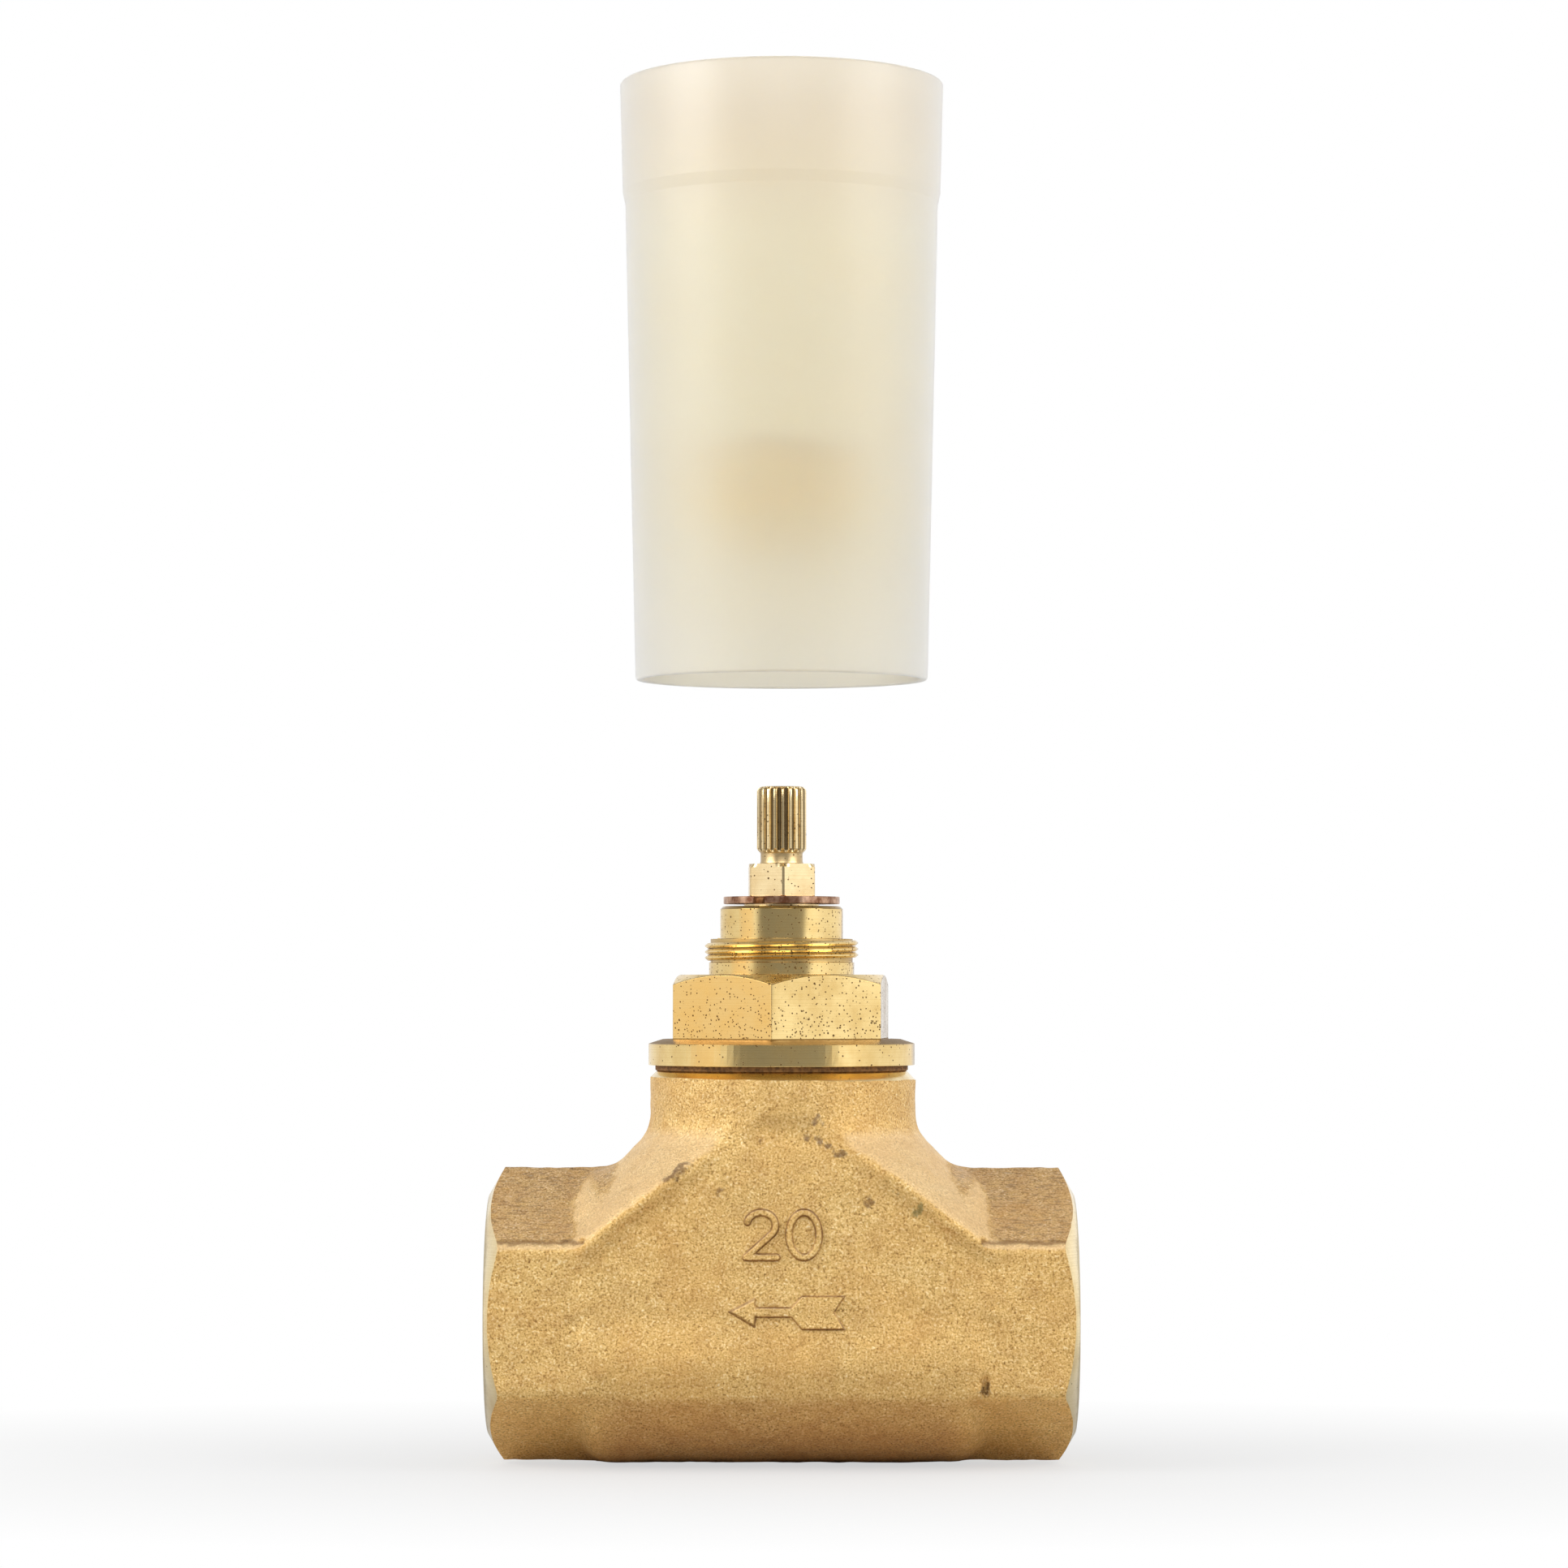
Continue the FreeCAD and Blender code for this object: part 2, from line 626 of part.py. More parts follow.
# Heights above the pipe axis, stacked from the seat upwards
lift_to_axis = size.belly_dia / 2
flare_top = size.flare_height
gasket_base = size.neck_height
flange_base = gasket_base + size.gasket_thickness
hex_base = flange_base + size.flange_thickness + size.flange_bevel
hex_top = hex_base + size.bonnet_hex_height
thread_base = hex_top + size.relief_length
thread_top = thread_base + size.thread_length
nose_top = thread_top + size.nose_length
roof = hex_top - size.roof_thickness
shank_end = flange_base - size.shank_length
snap_base = nose_top + size.snap_ring_clearance
snap_top = snap_base + size.snap_ring_thickness
spindle_hex_base = snap_top + size.seating_clearance
spindle_hex_top = spindle_hex_base + size.spindle_hex_length
spline_base = spindle_hex_top + size.spindle_neck_length
spline_top = spline_base + size.spline_length
slip_top = roof - size.seating_clearance
slip_base = slip_top - size.slip_ring_thickness
collar_top = slip_base - size.seating_clearance
collar_base = collar_top - size.collar_thickness
upper_ring = nose_top - size.ring_spacing / 2
lower_ring = upper_ring - size.ring_spacing

washer_base = size.seat_height
cup_floor = washer_base + size.washer_thickness
cup_rim = cup_floor - size.cup_recess
cup_top = cup_rim + size.cup_height
plug_hex_top = cup_top + size.plug_hex_length
plug_top = plug_hex_top + size.plug_barrel_length
plug_ring = plug_top - size.plug_ring_drop
plate_base = washer_base - size.plate_thickness
screw_head_base = plate_base - size.screw_head_height
screw_end = cup_floor + size.screw_reach
screw_hole_end = screw_end + size.travel_clearance
plug_bore_end = screw_hole_end + size.screw_dia * CORNER_SHARE
spindle_end = plug_bore_end + size.valve_travel + size.travel_clearance
skirt_end = cup_top + size.valve_travel + size.travel_clearance
guide_top = plug_hex_top + size.valve_travel + size.travel_clearance

# Radii of the fits that two pieces share
neck_bore = size.shank_dia / 2 + size.thread_clearance
spindle_bore = size.spindle_dia / 2 + size.running_clearance
grease_bore = size.grease_bore_dia / 2
plug_barrel = grease_bore - size.slide_clearance
plug_groove = grease_bore - size.ring_section - size.ring_clearance * 2

pieces = [
    make_valve_body(),
    make_bonnet(),
    ring("bonnet_gasket", neck_bore, size.gasket_dia / 2, gasket_base, flange_base),
    make_spindle(),
    make_snap_ring(),
    ring("slip_ring", spindle_bore, size.collar_dia / 2, slip_base, slip_top),
    seal_ring("spindle_o_ring_upper", size.ring_groove_dia / 2, upper_ring),
    seal_ring("spindle_o_ring_lower", size.ring_groove_dia / 2, lower_ring),
    make_valve_plug(),
    seal_ring("plug_o_ring", plug_groove, plug_ring),
    ring("seat_washer", size.screw_dia / 2 + size.slide_clearance, size.washer_dia / 2, washer_base, cup_floor),
    ring("washer_plate", size.screw_dia / 2 + size.slide_clearance, size.plate_dia / 2, plate_base, washer_base),
    make_washer_screw(),
    make_plaster_guard(),
]
doc.recompute()

faults = [item.Name for item in doc.Objects if {"Invalid", "Error"} & set(item.State)]
faults += [piece.Label for piece in pieces if piece.Shape.isNull() or not piece.Shape.isValid()]
if faults:
    raise RuntimeError(f"these did not build: {faults}")

os.makedirs("parts", exist_ok=True)
for piece in pieces:
    piece.Shape.exportStep(f"parts/{piece.Label}.step")
    print(piece.Label, len(piece.Shape.Solids), round(piece.Shape.Volume, 1))
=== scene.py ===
"""Looks of the concealed shower valve: a sand-cast brass body that is then machined, its turned
headwork, and the milky plaster guard lifted off above them.

Surfaces are worked out in millimetres in the part's own frame, with the spindle on the Z axis,
and become metres when their mesh is made.
"""
import json

import bmesh
import bpy
import numpy as np
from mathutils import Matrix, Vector


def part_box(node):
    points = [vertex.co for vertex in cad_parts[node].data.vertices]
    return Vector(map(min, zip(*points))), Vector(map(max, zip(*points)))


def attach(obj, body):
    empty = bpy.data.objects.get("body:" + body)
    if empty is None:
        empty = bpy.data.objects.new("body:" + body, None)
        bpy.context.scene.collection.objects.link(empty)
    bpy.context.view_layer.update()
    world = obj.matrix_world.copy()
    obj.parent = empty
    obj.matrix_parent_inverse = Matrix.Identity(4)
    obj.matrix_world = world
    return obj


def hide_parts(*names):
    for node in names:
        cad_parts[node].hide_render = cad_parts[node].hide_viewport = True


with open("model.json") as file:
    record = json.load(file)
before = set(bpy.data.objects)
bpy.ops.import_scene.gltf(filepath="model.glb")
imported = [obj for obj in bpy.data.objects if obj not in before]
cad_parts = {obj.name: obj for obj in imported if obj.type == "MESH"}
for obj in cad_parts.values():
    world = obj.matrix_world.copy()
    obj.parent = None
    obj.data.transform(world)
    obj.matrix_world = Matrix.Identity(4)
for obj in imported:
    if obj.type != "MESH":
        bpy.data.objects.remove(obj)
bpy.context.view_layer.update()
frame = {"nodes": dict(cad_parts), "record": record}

MM = 0.001


def node_box(node):
    """Lowest and highest corner of a CAD node in millimetres."""
    low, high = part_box(node)
    return np.array(low) / MM, np.array(high) / MM


# Places read from the frame
_, body_top = node_box("valve_body")
guard_foot, guard_head = node_box("plaster_guard")
mounts = {mount["name"]: mount for mount in frame["record"]["mounts"]}
HALF_LENGTH = body_top[0]
NECK_TOP = body_top[2]
AXIS = mounts["inlet"]["pos_m"][2] / MM
PORT_BORE = mounts["inlet"]["dims"]["r_mm"]
PORT_DEPTH = mounts["inlet"]["dims"]["length_mm"]
THREAD_CORE = mounts["escutcheon_thread"]["dims"]["r_mm"]
THREAD_LENGTH = mounts["escutcheon_thread"]["dims"]["length_mm"]
THREAD_MIDDLE = mounts["escutcheon_thread"]["pos_m"][2] / MM

# Raw casting, radii and half widths
HEX_FLAT = 16.12
HEX_EDGE = HEX_FLAT / 3 ** 0.5
HEX_CREST = 0.15
BELLY = AXIS - 0.12
BELLY_HALF = 23.2
NECK = 16.75
CORE_SHIFT = 0.2
SHOULDER_HALF = 18.4
FLARE_START = 23.1
FLARE_FOOT = 30.86
ARCH_RADIUS = 11.0
ARCH_RISE = 12.8
ARCH_FOOT = (26.0, 6.7)
PANEL_DROP = 9.0
PANEL_DEPTH = 16.4
PANEL_SWELL = 0.8
PANEL_SWELL_SPAN = (-1.0, 7.0)
SPARE_METAL = 1.2
LOWEST_LINE = 0.03
SKIN_STEP = 0.42

# Radii over which the casting's shapes run into each other
HEX_EDGE_BLEND = 0.8
BELLY_END_BLEND = 1.5
BARREL_BLEND = 0.7
FLARE_FOOT_BLEND = 2.0
SLAB_BLEND = 2.2
NECK_BLEND = 1.6
SHOULDER_BLEND = 1.0
PANEL_EDGE_BLEND = 1.7
PANEL_RIM_BLEND = 2.2

# Marks of the mould: height and size of the sand's lumps, the step's crease and the cold shut
SAND = [(0.09, 6.5), (0.05, 2.3), (0.06, 1.05)]
SAND_SINK = 0.1
CREASE_RADIUS = 0.6
CREASE_INSET = 0.1
CREASE_LIFT = 0.5
CREASE_FILL = 0.9
CREASE_FADE = (-27.0, -22.0)
CREASE_BLEND = 0.3
FLAW_MIDDLE = (25.0, -16.6, -8.1)
FLAW_REACH = (0.5, 1.4, 1.9)
FLAW_BLEND = 0.2

# Signs on the front panel
SIGN_STEP = 0.11
SIGN_DIP = 0.12
SIGN_ROOT = 0.9
SIGN_HEIGHT = 0.42
STROKE_HALF = 0.46
ARROW_HEAD_END = -3.05
ARROW = [(-6.65, 19.94), (-3.22, 21.75), (-3.05, 20.53), (1.2, 20.53), (2.48, 21.92), (7.85, 21.92),
         (6.46, 19.9), (7.85, 17.76), (2.48, 17.76), (1.2, 19.25), (-3.05, 19.25), (-3.22, 17.93)]

# Machined faces; a cutter stands clear of the work by the last value
PORT_FACE = 15.0
PORT_MOUTH = 0.9
BEVEL_SLOPE = 1 / 3 ** 0.5
NECK_BORE = 13.2
NECK_CHAMFER = 1.1
CHAMBER = 12.6
CHAMBER_FLOOR = 3.3
CHAMBER_TOP = 21.3
SEAT_BORE = 7.5
SEAT_RING = 9.0
SEAT_HEIGHT = 4.3
SHELF = HALF_LENGTH - PORT_DEPTH - PORT_MOUTH
INLET_WAY = (7.5, -7.2, -7.0, SHELF)
OUTLET_WAY = (6.0, 9.5, 0.0, -SHELF)
CUTTER_CLEAR = 8

# Threads: a ridge's foot, floor and top as half widths in shares of the pitch
THREAD_FOOT = 0.46
THREAD_FLOOR = 0.44
THREAD_TOP = 0.1
THREAD_BITE = 0.06
THREAD_GROWTH = 0.12
PIPE_PITCH = 1.814
PIPE_THREAD_DEPTH = 1.16
ESCUTCHEON_PITCH = 0.75
ESCUTCHEON_DEPTH = 0.71
ESCUTCHEON_FLOOR = 0.36

# Spindle's end; its hexagon's corners are turned off at an angle from the flat, in degrees as its turn is
SPLINE_TEETH = 20
SPLINE_ROOT = 2.7
SPLINE_LAND = 3.11
SPLINE_LENGTH = 8.3
SPINDLE_NECK = 2.65
SPINDLE_NECK_LENGTH = 1.45
SPINDLE_FLAT = 4.1
SPINDLE_HEX_LENGTH = 4.1
SPINDLE_HEX_CORNER = 28
SPINDLE_TURN = 2.7

# Sharp edges are those that turn more than this many degrees
SHARP = 25

# Painted shade in grooves and corners: radius where it is thick, radius where it ends, lowest and highest
# place, tone, cover
SPLINE_SHADE = [(2.7, 3.0, 76.9, 84.7, (70, 52, 26), 0.85), (2.7, 3.4, 75.1, 76.9, (120, 92, 48), 0.5)]
HEADWORK_SHADE = [(8.85, 9.6, 62.9, 65.7, (132, 96, 44), 0.55),
                 (16.8, 17.2, 52.62, 53.3, (128, 98, 50), 0.95)]

# Flats of the big hexagon with painted light of their own, a warmer reflection on the front left flat and
# grey shade on the right flat: the way each faces, tone, share
BONNET_FLAT_LIGHT = [((-0.569, -0.822, 0.0), (236, 176, 84), 0.4),
                ((0.9966, -0.0819, 0.0), (140, 122, 108), 0.7)]

# Specks on turned brass: the height they are counted from, the rise, and their share up that rise
SPECK_FOOT = 49.0
SPECK_RISE = 20.0
SPECK_SHARES = [(0.16, 0.12), (0.21, 1.0), (0.34, 1.0), (0.48, 0.5), (0.6, 0.5), (0.66, 0.9), (0.8, 0.6)]

# Stains on the casting, the last being a painted shadow in the cold shut: middle, size and tone
STAINS_AND_SHADOW = [((-13.7, -16.95, 36.3), 1.2, (86, 50, 24)), ((-12.8, -16.7, 37.1), 1.2, (82, 46, 22)),
          ((-11.8, -16.45, 38.0), 1.2, (88, 52, 26)), ((4.3, -16.15, 43.3), 1.0, (128, 98, 72)),
          ((3.1, -16.1, 41.4), 0.8, (112, 80, 60)), ((4.6, -16.1, 40.8), 0.8, (104, 72, 50)),
          ((5.9, -16.1, 40.1), 0.8, (98, 66, 44)), ((7.0, -16.2, 39.4), 0.9, (94, 62, 40)),
          ((10.9, -16.3, 33.3), 0.8, (112, 76, 44)), ((14.4, -16.6, 34.2), 0.75, (64, 48, 20)),
          ((16.9, -16.7, 32.3), 1.0, (112, 106, 60)), ((-7.6, -16.35, 34.5), 0.7, (120, 84, 46)),
          ((-2.6, -16.1, 41.0), 0.6, (126, 90, 50)), ((25.1, -16.2, 10.2), 1.3, (62, 38, 18))]

# Plaster guard
GUARD_RIM = 18.45
GUARD_STEP = 19.8
GUARD_BAND = 20.125
GUARD_BAND_HEIGHT = 14.5
GUARD_STEP_DROP = 0.9
GUARD_STEP_RISE = 0.6
GUARD_EDGE = 0.35
GUARD_RIM_WALL = 1.0
GUARD_ROOT_WALL = 1.7
GUARD_BAND_WALL = 1.58
WEB_LIFT = 28.75
WEB_THICKNESS = 1.0
WEB_HOLE = 8.1
COLLAR_BORE = 9.75
COLLAR = 11.0
COLLAR_DROP = 9.3
WEB_CLEARANCE = 0.03
WEB_EDGE = 0.3

# Lamps: name, place and size in metres, watts
LAMPS = [("left_softbox", (-0.68, -0.28, 0.45), (0.5, 0.4), 4.1),
         ("right_softbox", (0.68, -0.28, 0.45), (0.5, 0.4), 2.9),
         ("key_softbox", (0.0, -0.72, 0.5), (0.5, 0.3), 1.7)]

# Camera
LENS = 115.6
SENSOR = 36.0
EYE = (0.3, -635.0, 60.0)
AIM = (0.3, 0.0, 85.3)

# Materials


def srgb(red, green, blue):
    """Linear colour of an 8 bit sRGB value."""
    value = np.array([red, green, blue]) / 255
    linear = np.where(value <= 0.04045, value / 12.92, ((value + 0.055) / 1.055) ** 2.4)
    return (*linear, 1.0)


def start_material(name):
    """A material with one Principled shader, and its node tree."""
    material = bpy.data.materials.new(name)
    material.use_nodes = True
    tree = material.node_tree
    shader = next(node for node in tree.nodes if node.type == "BSDF_PRINCIPLED")
    return material, tree, shader


def add(tree, kind, settings=None, **inputs):
    """A new node; an input given as a socket is linked, and a value is set."""
    node = tree.nodes.new(f"ShaderNode{kind}")
    for key, value in (settings or {}).items():
        setattr(node, key, value)
    for key, value in inputs.items():
        socket = node.inputs[int(key[1:])] if key[0] == "_" else node.inputs[key.replace("_", " ")]
        if isinstance(value, bpy.types.NodeSocket):
            tree.links.new(value, socket)
        else:
            socket.default_value = value
    return node


def compute(tree, operation, first, second=0.0, third=0.0):
    """A number worked out from up to three others."""
    return add(tree, "Math", {"operation": operation}, _0=first, _1=second, _2=third).outputs[0]


def vector(tree, operation, *values):
    """A vector, or a length or product, worked out from up to three vectors."""
    inputs = {f"_{place}": value for place, value in enumerate(values)}
    outputs = add(tree, "VectorMath", {"operation": operation}, **inputs).outputs
    return outputs["Value" if operation in ("LENGTH", "DOT_PRODUCT") else "Vector"]


def fade(tree, value, start, end, low=0.0, high=1.0, course="LINEAR"):
    """Low at the start, high at the end, and level beyond them."""
    return add(tree, "MapRange", {"interpolation_type": course}, Value=value, From_Min=start, From_Max=end,
               To_Min=low, To_Max=high).outputs[0]


def ramp(tree, factor, stops):
    """A colour ramp through (place, colour) stops."""
    node = add(tree, "ValToRGB", Fac=factor)
    elements = node.color_ramp.elements
    while len(elements) < len(stops):
        elements.new(1.0)
    for element, (place, colour) in zip(elements, stops):
        element.position = place
        element.color = colour
    return node.outputs["Color"]


def grey(value):
    """A neutral colour."""
    return (value, value, value, 1.0)


def grade(tree, factor, stops):
    """A ramp of plain numbers through (place, number) stops."""
    return ramp(tree, factor, [(place, grey(value)) for place, value in stops])


def mix(tree, factor, first, second, blend="MIX"):
    """The first colour with that factor of the second laid over it."""
    node = add(tree, "Mix", {"data_type": "RGBA", "blend_type": blend}, _0=factor, _6=first, _7=second)
    return node.outputs[2]


def noise(tree, coordinates, size_mm, detail=2.0, roughness=0.5):
    """Noise whose features are about that many millimetres across."""
    return add(tree, "TexNoise", Vector=coordinates, Scale=1 / (size_mm * MM), Detail=detail,
               Roughness=roughness).outputs["Fac"]


def spots(tree, coordinates, size_mm, share, width):
    """Round dark spots: the cores of a share of Voronoi cells, as a factor from 0 to 1."""
    cells = add(tree, "TexVoronoi", Vector=coordinates, Scale=1 / (size_mm * MM))
    draw = add(tree, "SeparateColor", Color=cells.outputs["Color"]).outputs[0]
    chosen = compute(tree, "LESS_THAN", draw, share)
    core = fade(tree, cells.outputs["Distance"], width, width * 0.45, course="SMOOTHSTEP")
    return compute(tree, "MULTIPLY", chosen, core)


def connect(tree, shader, **inputs):
    """Links sockets to the shader's inputs of those names."""
    for key, value in inputs.items():
        tree.links.new(value, shader.inputs[key.replace("_", " ")])


def ragged_mark(tree, here, place, size_mm):
    """A ragged mark for a stain or a painted shadow: how near a place that noise has shifted lies to the
    mark's middle.
    """
    ragged = add(tree, "TexNoise", Vector=here, Scale=1 / (1.1 * MM), Detail=3.0).outputs["Color"]
    to_middle = tuple(np.array(place) * -MM - 1.5 * size_mm * MM)
    shift = vector(tree, "MULTIPLY_ADD", ragged, (3 * size_mm * MM,) * 3, to_middle)
    away = vector(tree, "LENGTH", vector(tree, "ADD", here, shift))
    return fade(tree, away, size_mm * MM, 0.3 * size_mm * MM, 0.0, 0.72, "SMOOTHSTEP")


def crease_shade(tree, here):
    """Painted shade: a dark ragged line in the crease just above the hexagons' upper front and rear edges.

    It fades towards the shoulder.
    """
    axes = add(tree, "SeparateXYZ", Vector=here).outputs
    along = compute(tree, "ABSOLUTE", axes[0])
    across = compute(tree, "ABSOLUTE", axes[1])
    waver = compute(tree, "MULTIPLY", noise(tree, here, 1.1, 3.0), 0.9 * MM)
    above = compute(tree, "SUBTRACT", axes[2], (AXIS + HEX_EDGE + 0.8) * MM)
    off_line = compute(tree, "ABSOLUTE", compute(tree, "ADD", above, waver))
    band = fade(tree, off_line, 0.08 * MM, 0.42 * MM, 0.7, 0.0)
    outside = fade(tree, along, 20.0 * MM, 25.0 * MM)
    edge = compute(tree, "MULTIPLY", compute(tree, "GREATER_THAN", across, 14.5 * MM),
                   compute(tree, "LESS_THAN", across, 16.6 * MM))
    return compute(tree, "MULTIPLY", band, compute(tree, "MULTIPLY", outside, edge))


def sand_cast_brass():
    """Dull golden brass with the grain of the sand it was cast in.

    Painted light makes faces that slope upwards, such as the flare, paler. Painted shade makes the
    hexagons' upper flats cooler, with dark streaks in their grain, browns the belly's underside and
    darkens the crease, the signs' sloping sides and the cold shut; painted light brightens the
    hexagons' lower flats.
    """
    material, tree, shader = start_material("sand_cast_brass")
    place = add(tree, "TexCoord")
    here = place.outputs["Object"]
    grain = noise(tree, here, 0.27, 3.0, 0.66)
    clumps = noise(tree, here, 2.6, 3.0, 0.6)
    mottle = noise(tree, here, 9.0, 2.0)
    gold = ramp(tree, grain, [(0.3, srgb(116, 80, 38)), (0.43, srgb(206, 166, 96)),
                              (0.57, srgb(230, 194, 126)), (0.72, srgb(254, 236, 190))])
    brown = mix(tree, grade(tree, clumps, [(0.42, 0.0), (0.7, 0.3)]), gold, srgb(168, 124, 70))
    warm = mix(tree, grade(tree, mottle, [(0.35, 0.0), (0.7, 0.25)]), brown, srgb(214, 160, 84))
    axes = add(tree, "SeparateXYZ", Vector=here).outputs
    upward = add(tree, "SeparateXYZ", Vector=place.outputs["Normal"]).outputs[2]
    # Painted light: faces that slope upwards, such as the flare, are made paler
    sloped_light = grade(tree, upward, [(0.3, 0.0), (0.55, 0.4), (0.74, 0.4), (0.8, 0.0)])
    pale = mix(tree, sloped_light, warm, srgb(238, 210, 168))
    # Painted shade: the hexagons' upward facing flats, below their tops, take a cooler, darker tone with
    # dark streaks in their grain
    stretched = vector(tree, "MULTIPLY", here, (0.35, 1.0, 1.0))
    streaks = noise(tree, stretched, 0.45, 3.0, 0.6)
    top_shaded = mix(tree, 1.0, pale, (0.92, 0.92, 1.12, 1.0), "MULTIPLY")
    streaked = mix(tree, grade(tree, streaks, [(0.36, 0.5), (0.5, 0.0)]), top_shaded, srgb(118, 86, 52))
    topside = fade(tree, upward, 0.74, 0.87)
    below_top = fade(tree, axes[2], (AXIS + HEX_FLAT * 1.13) * MM, (AXIS + HEX_FLAT * 1.18) * MM, 1.0, 0.0)
    colour = mix(tree, compute(tree, "MULTIPLY", topside, below_top), pale, streaked)
    # Painted shade in the crease along the hexagons' upper edges
    colour = mix(tree, crease_shade(tree, here), colour, srgb(120, 84, 46))
    # Painted shade browns faces turned downwards in the middle, and painted light brightens them at the
    # hexagons at the ends
    underside = fade(tree, upward, -0.3, -0.8)
    shaded = mix(tree, underside, colour, (0.92, 0.77, 0.68, 1.0), "MULTIPLY")
    lit = mix(tree, underside, colour, (1.25, 1.2, 1.1, 1.0), "MULTIPLY")
    ends = fade(tree, compute(tree, "ABSOLUTE", axes[0]), 20 * MM, 25 * MM)
    colour = mix(tree, ends, shaded, lit)
    # Painted shade on the signs' sloping sides, varied by the clumps
    draft_wall = add(tree, "Attribute", {"attribute_name": "draft_wall"}).outputs["Fac"]
    sign_wall_shade = compute(tree, "MULTIPLY", draft_wall, grade(tree, clumps, [(0.36, 0.4), (0.6, 0.95)]))
    colour = mix(tree, sign_wall_shade, colour, srgb(104, 68, 32))
    # Stains, and last a painted shadow in the cold shut
    for mark_middle, mark_size, tone in STAINS_AND_SHADOW:
        colour = mix(tree, ragged_mark(tree, here, mark_middle, mark_size), colour, srgb(*tone))
    relief = compute(tree, "ADD", grain, compute(tree, "MULTIPLY", clumps, 1.2))
    bump = add(tree, "Bump", Height=relief, Strength=0.85, Distance=0.18 * MM)
    rough = grade(tree, clumps, [(0.3, 0.42), (0.7, 0.58)])
    connect(tree, shader, Base_Color=colour, Roughness=rough, Normal=bump.outputs[0])
    shader.inputs["Metallic"].default_value = 0.55
    return material


def turned_brass(name, tone, dull, speck_share, groove_shade=(), flats=()):
    """Turned brass: fine tool lines, cloudy tarnish and dark specks, and painted shade in its grooves and
    corners.

    Each flat given takes painted light of its own, given as the way it faces, a tone and a share;
    faces and broken edges that slope upwards then take painted shade.
    """
    material, tree, shader = start_material(name)
    place = add(tree, "TexCoord")
    here = place.outputs["Object"]
    axes = add(tree, "SeparateXYZ", Vector=here).outputs
    reach = vector(tree, "LENGTH", add(tree, "CombineXYZ", X=axes[0], Y=axes[1]).outputs[0])
    upward = add(tree, "SeparateXYZ", Vector=place.outputs["Normal"]).outputs[2]
    flat = compute(tree, "GREATER_THAN", compute(tree, "ABSOLUTE", upward), 0.8)
    feed = add(tree, "Mix", {"data_type": "FLOAT"}, _0=flat, _2=axes[2], _3=reach).outputs[0]
    tooling = add(tree, "TexNoise", {"noise_dimensions": "1D"}, W=feed, Scale=1 / (0.16 * MM), Detail=2.0)
    lines = tooling.outputs["Fac"]
    cloud = noise(tree, here, 3.5, 3.0, 0.6)
    tarnish = mix(tree, grade(tree, cloud, [(0.42, 0.0), (0.75, 0.55)]), tone, dull)
    streaked = mix(tree, grade(tree, lines, [(0.35, 0.18), (0.6, 0.0)]), tarnish, dull)
    height = compute(tree, "MULTIPLY_ADD", axes[2], 1 / (SPECK_RISE * MM), -SPECK_FOOT / SPECK_RISE)
    crowd = grade(tree, height, [(stop, share * speck_share) for stop, share in SPECK_SHARES])
    ragged = add(tree, "TexNoise", Vector=here, Scale=1 / (0.5 * MM)).outputs["Color"]
    shaken = vector(tree, "MULTIPLY_ADD", ragged, (0.16 * MM,) * 3, here)
    specks = compute(tree, "MAXIMUM", spots(tree, shaken, 0.42, crowd, 0.33),
                     spots(tree, shaken, 0.8, compute(tree, "MULTIPLY", crowd, 0.5), 0.23))
    # Painted light on the flats that face the given ways
    for facing, flat_tone, share in flats:
        faced = vector(tree, "DOT_PRODUCT", place.outputs["Normal"], facing)
        streaked = mix(tree, fade(tree, faced, 0.985, 0.998, 0.0, share), streaked, srgb(*flat_tone))
    # Painted shade on faces and broken edges that slope upwards
    if flats:
        broken = grade(tree, upward, [(0.08, 0.0), (0.2, 0.8), (0.7, 0.8), (0.8, 0.0)])
        streaked = mix(tree, broken, streaked, srgb(130, 98, 46))
    colour = mix(tree, compute(tree, "MULTIPLY", specks, 0.92), streaked, srgb(70, 40, 14))
    rough = mix(tree, specks, grade(tree, cloud, [(0.35, 0.14), (0.75, 0.27)]), grey(0.6))
    # Painted shade in grooves and corners: darker inside a radius, between two heights
    for thick, thin, low, high, shade_tone, cover in groove_shade:
        sunk = fade(tree, reach, thick * MM, thin * MM, cover, 0.0)
        zone = compute(tree, "MULTIPLY", compute(tree, "GREATER_THAN", axes[2], low * MM),
                       compute(tree, "LESS_THAN", axes[2], high * MM))
        layer = compute(tree, "MULTIPLY", sunk, zone)
        colour = mix(tree, layer, colour, srgb(*shade_tone))
        rough = mix(tree, layer, rough, grey(0.5))
    bump = add(tree, "Bump", Height=lines, Strength=0.18, Distance=0.02 * MM)
    connect(tree, shader, Base_Color=colour, Roughness=rough, Normal=bump.outputs[0])
    shader.inputs["Metallic"].default_value = 1.0
    return material


def plain_material(name, light, dark, size_mm, roughness, bump_mm, metallic=0.0):
    """A mottled finish between two tones with a fine bump, for the small pieces."""
    material, tree, shader = start_material(name)
    here = add(tree, "TexCoord").outputs["Object"]
    cloud = noise(tree, here, size_mm, 3.0, 0.6)
    colour = ramp(tree, cloud, [(0.35, dark), (0.65, light)])
    fine = noise(tree, here, size_mm / 5, 2.0)
    bump = add(tree, "Bump", Height=fine, Strength=0.5, Distance=bump_mm * MM)
    rough = grade(tree, cloud, [(0.3, roughness + 0.1), (0.7, roughness - 0.05)])
    connect(tree, shader, Base_Color=colour, Roughness=rough, Normal=bump.outputs[0])
    shader.inputs["Metallic"].default_value = metallic
    return material


